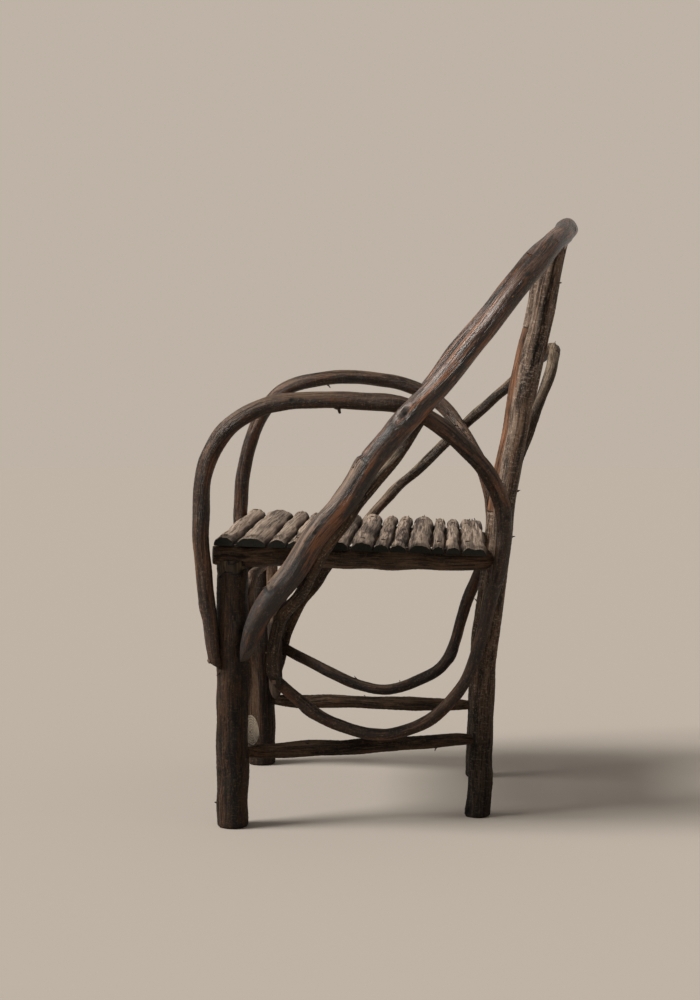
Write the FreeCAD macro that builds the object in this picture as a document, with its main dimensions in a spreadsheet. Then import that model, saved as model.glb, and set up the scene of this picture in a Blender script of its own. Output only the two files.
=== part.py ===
import FreeCAD, Part
import math
import os
import Sketcher

# A rustic bentwood armchair of peeled saplings and small logs, in millimetres.
# +Z is up, the chair faces -Y, and the sitter's left is +X. The origin lies on the floor,
# in the middle of the chair's box. Places from front to back are counted from the front
# legs' line, so "back" is how far behind that line a thing stands.

SIZES = {
    "seating_gap": 0.3,
    "notch": 1.5,
    "overrun": 20,
    "front_line": 234.5,
    "leg_spread": 467,
    "leg_height": 404,
    "leg_foot_diameter": 48,
    "leg_top_diameter": 46,
    "leg_worn_edge": 4,
    "seat_run": 400,
    "post_spread": 296,
    "post_diameter": 34,
    "post_rake": 114,
    "seat_height": 427,
    "seat_drop": 15,
    "side_rail_diameter": 34,
    "side_rail_nose": 27,
    "side_rail_flat": 1,
    "rail_tenon_diameter": 17,
    "rail_tenon_length": 12,
    "shoulder_bevel": 2,
    "front_rail_diameter": 27,
    "front_rail_height": 364,
    "rear_rail_diameter": 27,
    "rear_rail_height": 354,
    "slat_field": 386,
    "slat_gap": 1.6,
    "slat_front_edge": 24,
    "slat_thickness": 14,
    "slat_edge": 3,
    "slat_overhang": 24.5,
    "stretcher_diameter": 23,
    "stretcher_height": 111,
    "stretcher_rise": 9,
    "stretcher_tenon_diameter": 14,
    "stretcher_tenon_length": 13,
    "rear_stretcher_height": 154,
    "spindle_diameter": 17,
    "hoop_diameter": 26,
    "arm_height": 643,
    "bow_diameter": 36,
    "crest_height": 906,
    "crest_rake": 108,
    "strut_diameter": 18,
    "inner_hoop_diameter": 17,
    "inner_crest_height": 719,
    "inner_crest_rake": 86,
    "arch_diameter": 24,
    "arch_height": 368,
    "arch_foot_height": 118,
    "nail_shank": 2.5,
    "nail_head": 6,
    "nail_head_depth": 2,
    "nail_bite": 9,
    "nail_play": 0.15,
    "nail_sink": 1.2,
}

OUTWARD = FreeCAD.Vector(1, 0, 0)
BACKWARD = FreeCAD.Vector(0, 1, 0)
UPWARD = FreeCAD.Vector(0, 0, 1)

# The wood is shaved with a drawknife, so every stick has this many flats round it. Their corners lie
# a little outside the round stick of the same section, by this share.
FLATS = 10
CORNER_SHARE = math.sqrt(2 * math.pi / (FLATS * math.sin(2 * math.pi / FLATS)))
# A bent sapling is laid out in sections that turn by no more than this many radians each.
BEND_STEP = 0.3
FULL_TURN = 360
LEFT = 1
RIGHT = -1
SIDES = {"left": LEFT, "right": RIGHT}

document = FreeCAD.newDocument("twig_chair")
sheet = document.addObject("Spreadsheet::Sheet", "Sizes")


class Length:
    """A length of the chair: its number now, and the expression that ties it to the sheet."""

    def __init__(self, number, text):
        self.number = number
        self.text = text

    def __add__(self, other):
        return Length(self.number + other.number, "(%s + %s)" % (self.text, other.text))

    def __sub__(self, other):
        return Length(self.number - other.number, "(%s - %s)" % (self.text, other.text))

    def __mul__(self, share):
        return Length(self.number * share, "(%s * %s)" % (self.text, share))

    def __truediv__(self, count):
        return Length(self.number / count, "(%s / %s)" % (self.text, count))


NOTHING = Length(0, "0")


def enter_size(name, number):
    """Write one size into the sheet and return it as a length."""
    row = len(sheet.getUsedCells()) // 2 + 1
    sheet.set("A%d" % row, name)
    sheet.set("B%d" % row, str(number))
    sheet.setAlias("B%d" % row, name)
    return Length(float(number), "Sizes." + name)


sizes = {name: enter_size(name, number) for name, number in SIZES.items()}
document.recompute()


def length(name):
    return sizes[name]


def value(name):
    return float(sheet.get(name))


def place(out, back, up):
    """A point of the chair, from its reach to the sitter's left, back of the front legs and up."""
    return FreeCAD.Vector(out, back - value("front_line"), up)


def blend(low, high, share):
    return low + share * (high - low)


def flat_seat(back):
    """Height of the plane that the slats lie on, which falls to the rear."""
    return value("seat_height") - value("seat_drop") * back / value("seat_run")


# Slat outlines, drawn on a plane of the slat's own body

def origin_plane(body, role):
    for plane in body.Origin.OriginFeatures:
        if plane.Role == role:
            return plane


def new_sketch(body, name, role):
    sketch = body.newObject("Sketcher::SketchObject", name)
    sketch.AttachmentSupport = [(origin_plane(body, role), "")]
    sketch.MapMode = "FlatFace"
    return sketch


def tie(sketch, kind, edge, end, size):
    """Hold one end of an edge at a distance from the sketch origin, bound to the sheet."""
    index = sketch.addConstraint(Sketcher.Constraint(kind, -1, 1, edge, end, size.number))
    sketch.setExpression("Constraints[%d]" % index, size.text)


def pin(sketch, edge, end, corner):
    """Hold one end of an edge at a corner, on an axis where a coordinate is nothing."""
    across, along = corner
    if across is NOTHING and along is NOTHING:
        sketch.addConstraint(Sketcher.Constraint("Coincident", edge, end, -1, 1))
        return
    if across is NOTHING:
        sketch.addConstraint(Sketcher.Constraint("PointOnObject", edge, end, -2))
    else:
        tie(sketch, "DistanceX", edge, end, across)
    if along is NOTHING:
        sketch.addConstraint(Sketcher.Constraint("PointOnObject", edge, end, -1))
    else:
        tie(sketch, "DistanceY", edge, end, along)


# Straight sticks, and the drills for their tenons

def whittled_stick(label, stations):
    """A straight stick of flats that runs up from its own origin, by rings of (radius, place)."""
    rings = []
    for count, (radius, along) in enumerate(stations):
        ring = document.addObject("Part::RegularPolygon", "%s_ring_%d" % (label, count))
        ring.Polygon = FLATS
        ring.setExpression("Circumradius", (radius * CORNER_SHARE).text)
        ring.setExpression(".Placement.Base.z", along.text)
        rings.append(ring)
    stick = document.addObject("Part::Loft", label + "_stick")
    stick.Sections = rings
    stick.Solid = True
    stick.Ruled = True
    return stick


def tenoned_stations(radius, tenon_radius, tenon, reach, swell_shares):
    """Rings of a stick with a tenon beyond each end of its reach, and sloped shoulders.

    swell_shares gives its thickness between the shoulders, as (share of the way, share of the radius).
    """
    shoulder = length("shoulder_bevel")
    between = reach - shoulder * 2
    stations = [(tenon_radius, NOTHING), (tenon_radius, tenon)]
    stations += [(radius * thick, tenon + shoulder + between * along) for along, thick in swell_shares]
    return stations + [(tenon_radius, tenon + reach), (tenon_radius, tenon + reach + tenon)]


def stand_along(start, end):
    """The placement that stands a stick on start and points it at end."""
    return FreeCAD.Placement(start, FreeCAD.Rotation(UPWARD, end - start))


def drill(label, radius, depth, start, heading):
    """A drill a little wider than its tenon, with the tenon's flats, from start along its heading."""
    tool = document.addObject("Part::Prism", label)
    tool.Polygon = FLATS
    tool.setExpression("Circumradius", ((radius + length("seating_gap")) * CORNER_SHARE).text)
    tool.setExpression("Height", depth.text)
    tool.Placement = FreeCAD.Placement(start, FreeCAD.Rotation(UPWARD, heading))
    return tool


def shaped(label, shape):
    """A feature that holds a ready shape."""
    feature = document.addObject("Part::Feature", label)
    feature.Shape = shape
    return feature


def ring_of_flats(radius, seat):
    """A closed ring of flats that stands for a round of that radius."""
    reach = radius * CORNER_SHARE
    corners = []
    for count in range(FLATS):
        turn = math.radians(FULL_TURN * count / FLATS)
        corners.append(seat.multVec(FreeCAD.Vector(reach * math.cos(turn), reach * math.sin(turn), 0)))
    return Part.makePolygon(corners + corners[:1])


# Bent saplings: a smooth line through hand-picked stations, and rings of flats square to it

class Sapling:
    """A bent sapling by its stations of place and diameter.

    side is a direction that the sapling never runs along, so its sections don't twist.
    """

    def __init__(self, stations, side):
        self.side = side
        self.points = [point for point, diameter in stations]
        self.radii = [diameter / 2 for point, diameter in stations]
        self.parameters = [0.0]
        for before, after in zip(self.points, self.points[1:]):
            self.parameters.append(self.parameters[-1] + (after - before).Length)
        self.line = Part.BSplineCurve()
        self.line.interpolate(Points=self.points, Parameters=self.parameters)
        self.edge = self.line.toShape()

    def radius_at(self, parameter):
        """Half the thickness between two stations, in proportion."""
        last = len(self.parameters) - 1
        for index in range(1, last + 1):
            if parameter <= self.parameters[index] or index == last:
                start = self.parameters[index - 1]
                share = (parameter - start) / (self.parameters[index] - start)
                return blend(self.radii[index - 1], self.radii[index], share)

    def heading_at(self, parameter):
        return self.line.tangent(parameter)[0]

    def section_parameters(self):
        """The stations, and places between them where the sapling turns by more than a step."""
        chosen = [self.parameters[0]]
        for before, after in zip(self.parameters, self.parameters[1:]):
            turn = self.heading_at(before).getAngle(self.heading_at(after))
            count = max(1, math.ceil(turn / BEND_STEP))
            chosen += [blend(before, after, (step + 1) / count) for step in range(count)]
        return chosen

    def loft(self, parameters, grow):
        """The solid through the rings at these parameters, thicker by grow all round."""
        rings = []
        for parameter in parameters:
            turned = FreeCAD.Rotation(self.side, BACKWARD, self.heading_at(parameter), "ZXY")
            seat = FreeCAD.Placement(self.line.value(parameter), turned)
            rings.append(ring_of_flats(self.radius_at(parameter) + grow, seat))
        return Part.makeLoft(rings, True, True)

    def solid(self):
        return self.loft(self.section_parameters(), 0)

    def room(self, edge, radius):
        """The room that the sapling takes from a stick of that middle line and radius.

        It is the stretches where the two come close, thicker by the seating gap.
        """
        parameters = self.section_parameters()
        reach = radius + max(self.radii) + value("notch")
        stretches = []
        for index, (before, after) in enumerate(zip(parameters, parameters[1:])):
            if self.line.toShape(before, after).distToShape(edge)[0] > reach:
                continue
            if stretches and stretches[-1][-1] == index:
                stretches[-1].append(index + 1)
            else:
                stretches.append([index, index + 1])
        lofts = [self.loft([parameters[index] for index in stretch], value("seating_gap"))
                 for stretch in stretches]
        return lofts[0] if len(lofts) == 1 else Part.Compound(lofts)

    def nearest(self, point):
        """The place on the line that is nearest to a point, and the radius there."""
        parameter = self.line.parameter(point)
        return self.line.value(parameter), self.radius_at(parameter)

    def crossing(self, normal, reach):
        """The first place where the line goes through a plane."""
        plane = Part.Plane(normal * reach, normal)
        found = self.line.intersectCS(plane)[0][0]
        return FreeCAD.Vector(found.X, found.Y, found.Z)

    def meets(self, other):
        """The nearest places of this sapling's line and another's."""
        return self.edge.distToShape(other.edge)[1][0]


# Lines that several pieces share

leg_out = value("leg_spread") / 2
post_out = value("post_spread") / 2
leg_radius = value("leg_top_diameter") / 2
foot_radius = value("leg_foot_diameter") / 2
post_radius = value("post_diameter") / 2
hoop_radius = value("hoop_diameter") / 2
bow_radius = value("bow_diameter") / 2
strut_radius = value("strut_diameter") / 2
inner_radius = value("inner_hoop_diameter") / 2
slat_length = length("leg_spread") + length("slat_overhang") * 2
slat_end_out = slat_length.number / 2
bow_out = slat_end_out + strut_radius + bow_radius - value("notch")


def beside_leg(side, other_radius, turn, height):
    """A place where a sapling is let into the leg, at a turn from straight behind it outward."""
    thick = blend(foot_radius, leg_radius, height / value("leg_height"))
    apart = thick + other_radius - value("notch")
    angle = math.radians(turn)
    return place(side * (leg_out + apart * math.sin(angle)), apart * math.cos(angle), height)


# Back bow: from behind one front leg, outside the slats and arms, and over the back. Half of it in
# rows of (share of the way out, share of the crest's reach behind the legs, share of the crest's
# height, share of the thickness); the other half is its mirror image.
BOW_SHARES = [
    (0.93, 0.076, 0.34, 0.86),
    (0.965, 0.13, 0.391, 1.0),
    (0.99, 0.19, 0.433, 1.02),
    (1.0, 0.262, 0.495, 1.0),
    (1.0, 0.342, 0.55, 1.0),
    (0.992, 0.417, 0.612, 1.0),
    (0.982, 0.515, 0.678, 1.02),
    (0.967, 0.637, 0.752, 0.92),
    (0.935, 0.768, 0.844, 0.9),
    (0.865, 0.852, 0.904, 0.87),
    (0.73, 0.908, 0.944, 0.87),
    (0.522, 0.954, 0.97, 0.88),
    (0.28, 0.984, 0.99, 0.9),
]
BOW_CREST_SHARES = (0.0, 1.0, 1.0, 0.92)
BOW_FOOT_SHARES = (0.297, 0.62)
# The bow's feet lie this many degrees round the legs from straight behind.
BOW_FOOT_TURN = 36


def back_bow():
    reach = value("seat_run") + value("crest_rake")
    crest = value("crest_height")
    foot_up, foot_thick = BOW_FOOT_SHARES
    foot = crest * foot_up

    def half(side, rows):
        return [(place(side * bow_out * out, reach * back, crest * up), value("bow_diameter") * thick)
                for out, back, up, thick in rows]

    def foot_station(side):
        return (beside_leg(side, bow_radius * foot_thick, BOW_FOOT_TURN, foot),
                value("bow_diameter") * foot_thick)

    stations = [foot_station(LEFT)] + half(LEFT, BOW_SHARES) + half(LEFT, [BOW_CREST_SHARES])
    stations += half(RIGHT, BOW_SHARES[::-1]) + [foot_station(RIGHT)]
    return Sapling(stations, FreeCAD.Vector(0, crest, -reach))


bow = back_bow()

# Rear post: one sapling that is rear leg and back upright, and ends in the bow. Each row is
# (share of the rake behind the seat's rear, share of the crest's height, share of the thickness).
REAR_POST_SHARES = [
    (-0.28, -0.02, 1.04),
    (-0.25, 0.02, 1.08),
    (-0.215, 0.165, 1.05),
    (-0.155, 0.285, 1.0),
    (-0.05, 0.385, 1.0),
    (0.0, 0.44, 0.98),
    (0.085, 0.54, 0.95),
    (0.23, 0.64, 0.92),
    (0.385, 0.755, 0.9),
    (0.585, 0.87, 0.89),
]
REAR_POST_TOP_SHARE = 0.86


def rear_post(side):
    stations = [
        (place(side * post_out,
               value("seat_run") + value("post_rake") * behind,
               value("crest_height") * up),
         value("post_diameter") * thick)
        for behind, up, thick in REAR_POST_SHARES
    ]
    top = bow.crossing(OUTWARD, side * post_out)
    stations.append((top, value("post_diameter") * REAR_POST_TOP_SHARE))
    return Sapling(stations, OUTWARD)


posts = {name: rear_post(side) for name, side in SIDES.items()}

# Inner back hoop: its right leg runs from beside the right front leg up past the slats and round the
# right post; its left leg drops steeply inside the left post. Right leg rows are (share of the way
# out from the post to the slats' ends, share of the crest's reach, share of its height, share of the
# thickness); left leg rows count out as a share of the posts' spread.
INNER_FOOT_SHARES = (0.195, 0.9)
INNER_FOOT_TURN = 43
INNER_RIGHT_SHARES = [
    (0.93, 0.07, 0.26, 1.0),
    (0.96, 0.1, 0.332, 1.05),
    (0.98, 0.133, 0.376, 1.05),
    (1.0, 0.173, 0.415, 1.05),
    (1.02, 0.226, 0.467, 1.05),
    (1.03, 0.305, 0.532, 1.0),
    (1.02, 0.385, 0.592, 1.0),
    (0.99, 0.46, 0.648, 1.0),
    (0.91, 0.56, 0.715, 1.0),
    (0.79, 0.665, 0.781, 1.0),
    (0.65, 0.76, 0.843, 1.0),
    (0.43, 0.86, 0.907, 1.0),
    (0.3, 0.905, 0.935, 1.0),
]
INNER_LEFT_SHARES = [
    (-1.1, 0.948, 0.952, 1.0),
    (-0.92, 0.964, 0.966, 1.0),
    (-0.6, 0.984, 0.984, 1.0),
    (-0.25, 0.998, 0.998, 1.0),
    (0.1, 1.004, 1.0, 1.0),
    (0.36, 1.003, 0.99, 1.0),
    (0.56, 0.995, 0.966, 1.0),
    (0.7, 0.978, 0.932, 1.0),
    (0.79, 0.952, 0.885, 1.0),
    (0.83, 0.92, 0.83, 1.0),
    (0.85, 0.88, 0.76, 0.95),
    (0.852, 0.852, 0.67, 0.85),
]


def inner_back_hoop():
    reach = value("seat_run") + value("inner_crest_rake")
    edge_out = slat_end_out + inner_radius
    height = value("inner_crest_height")
    girth = value("inner_hoop_diameter")
    foot_up, foot_thick = INNER_FOOT_SHARES
    foot = beside_leg(RIGHT, inner_radius * foot_thick, INNER_FOOT_TURN, height * foot_up)
    stations = [(foot, girth * foot_thick)]
    stations += [
        (place(RIGHT * blend(post_out, edge_out, out), reach * back, height * up), girth * thick)
        for out, back, up, thick in INNER_RIGHT_SHARES
    ]
    stations += [
        (place(post_out * out, reach * back, height * up), girth * thick)
        for out, back, up, thick in INNER_LEFT_SHARES
    ]
    return Sapling(stations, FreeCAD.Vector(0, height, -reach))


inner = inner_back_hoop()

# Arm hoop: up the front of the leg, back as the arm, down outside the rear post and forward again
# under the seat. Each row is (share of the way out, share of the seat's run, share of the arm's
# height, share of the thickness). The way out is 0 at the post's side, 1 where the bow lies against
# the arm and 2 at the leg's side. The right arm stands higher.
LEFT_HOOP_SHARES = [
    (2.0, -0.06, 0.385, 0.7),
    (2.0, -0.07, 0.46, 0.82),
    (2.4, -0.095, 0.575, 0.92),
    (2.8, -0.108, 0.73, 1.0),
    (2.8, -0.08, 0.86, 1.0),
    (2.5, -0.005, 0.934, 0.97),
    (2.0, 0.12, 0.984, 0.97),
    (1.5, 0.28, 1.0, 1.0),
    (1.1, 0.475, 0.998, 0.98),
    (1.0, 0.64, 0.985, 0.97),
    (0.86, 0.79, 0.935, 1.0),
    (0.48, 0.935, 0.845, 0.97),
    (0.02, 1.01, 0.745, 0.95),
    (0.0, 1.01, 0.63, 0.85),
    (0.0, 0.975, 0.525, 0.75),
    (0.04, 0.915, 0.4, 0.72),
    (0.2, 0.835, 0.3, 0.7),
    (0.38, 0.71, 0.235, 0.7),
    (0.52, 0.56, 0.213, 0.68),
    (0.59, 0.41, 0.235, 0.7),
    (0.63, 0.275, 0.285, 0.7),
    (0.64, 0.16, 0.345, 0.66),
]
RIGHT_HOOP_SHARES = [
    (2.0, -0.06, 0.385, 0.7),
    (2.0, -0.07, 0.46, 0.82),
    (2.4, -0.092, 0.6, 0.9),
    (2.8, -0.088, 0.72, 0.92),
    (2.8, -0.058, 0.845, 0.92),
    (2.5, -0.005, 0.93, 0.92),
    (2.0, 0.09, 1.003, 0.92),
    (1.6, 0.21, 1.03, 0.92),
    (1.25, 0.37, 1.041, 0.9),
    (1.08, 0.53, 1.033, 0.92),
    (1.02, 0.65, 1.013, 0.9),
    (0.93, 0.77, 0.97, 0.9),
    (0.54, 0.86, 0.905, 0.88),
    (0.14, 0.94, 0.815, 0.86),
    (-0.02, 0.99, 0.71, 0.84),
    (0.06, 0.982, 0.61, 0.8),
    (0.1, 0.93, 0.52, 0.75),
    (0.16, 0.875, 0.43, 0.74),
    (0.24, 0.835, 0.34, 0.72),
    (0.34, 0.78, 0.275, 0.7),
    (0.46, 0.67, 0.232, 0.7),
    (0.55, 0.545, 0.208, 0.7),
    (0.64, 0.41, 0.222, 0.7),
    (0.76, 0.27, 0.26, 0.7),
]
RIGHT_HOOP_END_SHARES = (0.312, 0.7)
# The hoops' thickness where they pass the posts.
HOOP_REAR_SHARE = 0.85
# How far out the bow is where it lies against the arms, as a share of its widest.
BOW_ARM_SHARE = 0.979


def arm_hoop(side, shares):
    forward = value("seat_run") * shares[0][1]
    apart = leg_radius + hoop_radius * shares[0][3] - value("notch")
    front_out = leg_out + math.sqrt(apart ** 2 - forward ** 2)
    arm_out = bow_out * BOW_ARM_SHARE - bow_radius - hoop_radius + value("notch")
    rear_out = post_out + post_radius + hoop_radius * HOOP_REAR_SHARE - value("notch")

    def reach(share):
        if share < 1:
            return blend(rear_out, arm_out, share)
        return blend(arm_out, front_out, share - 1)

    return [
        (place(side * reach(out), value("seat_run") * back, value("arm_height") * up),
         value("hoop_diameter") * thick)
        for out, back, up, thick in shares
    ]


def right_hoop():
    """The right hoop's cut end lies against the inner side of the inner hoop's foot."""
    end_up, end_thick = RIGHT_HOOP_END_SHARES
    beside = inner.crossing(UPWARD, value("arm_height") * end_up)
    apart = hoop_radius * end_thick + inner_radius - value("notch")
    end = (beside - OUTWARD * RIGHT * apart, value("hoop_diameter") * end_thick)
    return Sapling(arm_hoop(RIGHT, RIGHT_HOOP_SHARES) + [end], OUTWARD)


hoops = {"left": Sapling(arm_hoop(LEFT, LEFT_HOOP_SHARES), OUTWARD), "right": right_hoop()}

# Strut: beside the bow on the sitter's left, from the arm's inner side down outside the slats to the
# outer side of the hoop's front end. Each row is (share of the slats' reach, share of the seat's run,
# share of the arm's height, share of the thickness).
STRUT_TOP_SHARES = (0.715, 0.9)
STRUT_SHARES = [
    (0.915, 0.65, 0.9, 0.95),
    (0.985, 0.525, 0.8, 1.0),
    (1.035, 0.455, 0.745, 1.0),
    (1.04, 0.405, 0.7, 1.0),
    (1.04, 0.32, 0.62, 1.0),
    (1.0, 0.26, 0.55, 1.05),
    (0.975, 0.205, 0.51, 1.05),
    (0.95, 0.16, 0.445, 1.0),
]
STRUT_FOOT_SHARE = 1.0


def bow_strut():
    girth = value("strut_diameter")
    hoop = hoops["left"]
    top_back, top_thick = STRUT_TOP_SHARES
    arm = hoop.crossing(BACKWARD, value("seat_run") * top_back - value("front_line"))
    stations = [(arm - OUTWARD * (hoop_radius + strut_radius * top_thick - value("notch")), girth * top_thick)]
    stations += [
        (place(slat_end_out * out, value("seat_run") * back, value("arm_height") * up), girth * thick)
        for out, back, up, thick in STRUT_SHARES
    ]
    apart = hoop.radii[-1] + strut_radius * STRUT_FOOT_SHARE - value("notch")
    stations += [(hoop.points[-1] + OUTWARD * apart, girth * STRUT_FOOT_SHARE)]
    return Sapling(stations, OUTWARD)


strut = bow_strut()

# Front arch: an upside-down U nailed behind the front legs and the front rail. Half of it in rows of
# (share of the way out, share of the way up from its foot, share of the thickness).
ARCH_SHARES = [
    (1.0, 0.0, 1.0),
    (1.0, 0.33, 1.0),
    (1.0, 0.66, 0.9),
    (0.99, 0.84, 0.78),
    (0.93, 0.955, 0.7),
    (0.78, 0.995, 0.68),
    (0.45, 1.0, 0.66),
]
# The arch's feet stand this many degrees round the legs from straight behind, towards the middle.
ARCH_FOOT_TURN = -36
ARCH_BEVEL_SHARE = 2.1


def front_arch():
    low = value("arch_foot_height")
    high = value("arch_height")
    foot = beside_leg(LEFT, value("arch_diameter") / 2, ARCH_FOOT_TURN, low)
    foot_back = foot.y + value("front_line")
    crown_share = ARCH_SHARES[-1][2]
    rail_back = (value("front_rail_diameter") + value("arch_diameter") * crown_share) / 2 + value("seating_gap")

    def half(side, rows):
        return [(place(side * foot.x * out, blend(foot_back, rail_back, up), blend(low, high, up)),
                 value("arch_diameter") * thick)
                for out, up, thick in rows]

    return Sapling(half(LEFT, ARCH_SHARES) + half(RIGHT, ARCH_SHARES[::-1]), BACKWARD)


arch = front_arch()

# Fastenings. Each nail goes through the outer piece into the inner one, its head let into the wood.

NAIL_TIP_SHARE = 0.4
nails = {"slat_nails": [], "hoop_nails": [], "bow_nails": [], "brace_nails": []}
nail_holes = {}


def nail_shape(reach, grow=0):
    """A square nail that points down from its head, or the hole that it leaves if grown."""
    head = value("nail_head") / 2 + grow
    shank = value("nail_shank") / 2 + grow
    sink = value("nail_sink") + grow
    top = value("nail_head_depth") + grow - value("nail_sink")
    tip = value("nail_shank") / 2 * NAIL_TIP_SHARE + grow
    head_box = Part.makeBox(2 * head, 2 * head, sink + top, FreeCAD.Vector(-head, -head, -sink))
    corners = [(-shank, -value("nail_sink")), (shank, -value("nail_sink")), (tip, -reach - grow),
               (-tip, -reach - grow)]
    outline = Part.makePolygon([FreeCAD.Vector(across, -shank, up) for across, up in corners + corners[:1]])
    shank_solid = Part.Face(outline).extrude(BACKWARD * 2 * shank)
    return head_box.fuse(shank_solid).removeSplitter()


def drive_nail(group, surface, outward, reach, pieces):
    """Drive a nail into the surface and leave its hole in each piece that it goes through."""
    seat = FreeCAD.Placement(surface, FreeCAD.Rotation(UPWARD, outward))
    nail = nail_shape(reach)
    hole = nail_shape(reach, value("nail_play"))
    nail.Placement = seat
    hole.Placement = seat
    nails[group].append(nail)
    for piece in pieces:
        nail_holes.setdefault(piece, []).append(hole)


def fasten(group, outer_name, outer, inner_name, inner_point):
    """Nail the outer sapling at its nearest place to a point on the inner piece's middle line."""
    middle, radius = outer.nearest(inner_point)
    outward = (middle - inner_point).normalize()
    drive_nail(group, middle + outward * radius, outward, 2 * radius + value("nail_bite"),
               [outer_name, inner_name])


def leg_middle(side, height):
    return place(side * leg_out, 0, height)


def rail_height(back):
    """Height of the side rails' middle line, under the slats."""
    return flat_seat(back) - value("side_rail_diameter") / 2 + value("side_rail_flat")


def rail_out(back):
    return blend(leg_out, post_out, back / value("seat_run"))


LEG_NAIL_SHARES = (0.635, 0.71)
ARCH_NAIL_SHARES = (0.3, 0.62)
FOOT_NAIL_SHARE = 0.03
HOOP_NAIL_SHARE = 0.69


def place_frame_nails():
    for name, side in SIDES.items():
        hoop, post, leg = hoops[name], posts[name], "front_leg_" + name
        hoop_name, post_name = "arm_hoop_" + name, "rear_post_" + name
        for share in LEG_NAIL_SHARES:
            fasten("hoop_nails", hoop_name, hoop, leg, leg_middle(side, value("leg_height") * share))
        behind_seat = post.crossing(UPWARD, value("arm_height") * HOOP_NAIL_SHARE)
        fasten("hoop_nails", hoop_name, hoop, post_name, behind_seat)
        fasten("bow_nails", "back_bow", bow, hoop_name, hoop.meets(bow)[0])
        foot = bow.points[0 if side == LEFT else -1]
        bow_nail_height = foot.z + FOOT_NAIL_SHARE * foot.z
        fasten("bow_nails", "back_bow", bow, leg, leg_middle(side, bow_nail_height))
        top = post.points[-1] - post.heading_at(post.parameters[-1]) * value("bow_diameter")
        fasten("bow_nails", "back_bow", bow, post_name, top)
        fasten("brace_nails", "inner_back_hoop", inner, post_name, post.meets(inner)[0])
        rise = value("arch_height") - value("arch_foot_height")
        for share in ARCH_NAIL_SHARES:
            height = value("arch_foot_height") + rise * share
            fasten("brace_nails", "front_arch", arch, leg, leg_middle(side, height))
    foot = inner.points[0]
    fasten("brace_nails", "inner_back_hoop", inner, "front_leg_right",
           leg_middle(RIGHT, foot.z + FOOT_NAIL_SHARE * foot.z))
    fasten("brace_nails", "inner_back_hoop", inner, "arm_hoop_right", hoops["right"].meets(inner)[0])
    fasten("brace_nails", "front_arch", arch, "seat_front_rail", place(0, 0, value("front_rail_height")))
    hoop_end = hoops["right"].points[-1]
    fasten("hoop_nails", "arm_hoop_right", hoops["right"], "inner_back_hoop", inner.nearest(hoop_end)[0])
    fasten("hoop_nails", "bow_strut", strut, "arm_hoop_left", hoops["left"].points[-1])
    fasten("bow_nails", "bow_strut", strut, "arm_hoop_left", hoops["left"].nearest(strut.points[0])[0])


# Pieces. Each is cut by the room that its neighbours take, and by its nails' holes.

sub_parts = []


def finish_piece(label, base, tools):
    """The piece of that name: its base less each tool, and less its nails' holes."""
    if label in nail_holes:
        tools = [shaped(label + "_nail_holes", Part.Compound(nail_holes[label]))] + tools
    for count, tool in enumerate(tools):
        cut = document.addObject("Part::Cut", "%s_cut_%d" % (label, count))
        cut.Base = base
        cut.Tool = tool
        base = cut
    base.Label = label
    sub_parts.append(base)


def joined_stick(label, diameter, tenon_diameter, tenon_length, swell_shares, start, end):
    """A stick between two members, with a tenon in each; returns the stick and the two drills.

    start and end are each the member's (middle point, radius, direction).
    """
    run = end[0] - start[0]
    heading = FreeCAD.Vector(run).normalize()
    end_radius = diameter.number / 2 * swell_shares[1][1]
    stands = []
    for point, member_radius, member_heading in (start, end):
        lean = abs(heading.dot(member_heading)) * end_radius
        stands.append(member_radius + value("seating_gap") + lean)
    reach = enter_size(label + "_reach", run.Length - stands[0] - stands[1])
    stick = whittled_stick(label, tenoned_stations(diameter / 2, tenon_diameter / 2, tenon_length, reach,
                                                   swell_shares))
    stick.Placement = stand_along(start[0] + heading * (stands[0] - tenon_length.number), end[0])
    hole = tenon_length + length("seating_gap")
    depth = hole + length("overrun")
    near_bottom = start[0] + heading * (stands[0] - hole.number)
    far_mouth = end[0] - heading * (stands[1] + value("overrun"))
    drills = [drill(label + "_near_mortise", tenon_diameter / 2, depth, near_bottom, heading),
              drill(label + "_far_mortise", tenon_diameter / 2, depth, far_mouth, heading)]
    return stick, drills


def post_member(name, height):
    """A rear post's middle, radius and direction at a height."""
    post = posts[name]
    middle = post.crossing(UPWARD, height)
    parameter = post.line.parameter(middle)
    return middle, post.radius_at(parameter), post.heading_at(parameter)


def leg_member(side, height):
    thick = blend(foot_radius, leg_radius, height / value("leg_height"))
    return leg_middle(side, height), thick, UPWARD


# Seat rails and stretchers, their swell as (share of the reach, share of the radius)

SIDE_RAIL_SHARES = [(0.0, 0.82), (0.008, 0.88), (0.07, 0.93), (0.3, 1.0), (0.65, 1.0), (0.97, 0.97), (1.0, 0.93)]
CROSS_RAIL_SHARES = [(0.0, 0.72), (0.04, 0.94), (0.3, 1.0), (0.55, 0.96), (0.96, 0.92), (1.0, 0.72)]
LEFT_STRETCHER_SHARES = [(0.0, 0.68), (0.045, 0.98), (0.2, 1.02), (0.42, 0.92), (0.5, 1.04), (0.6, 0.93),
                         (0.8, 0.9), (0.955, 0.84), (1.0, 0.68)]
RIGHT_STRETCHER_SHARES = [(0.0, 0.68), (0.045, 0.9), (0.25, 0.98), (0.5, 0.9), (0.62, 1.0), (0.8, 0.93),
                          (0.955, 0.86), (1.0, 0.68)]


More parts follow.
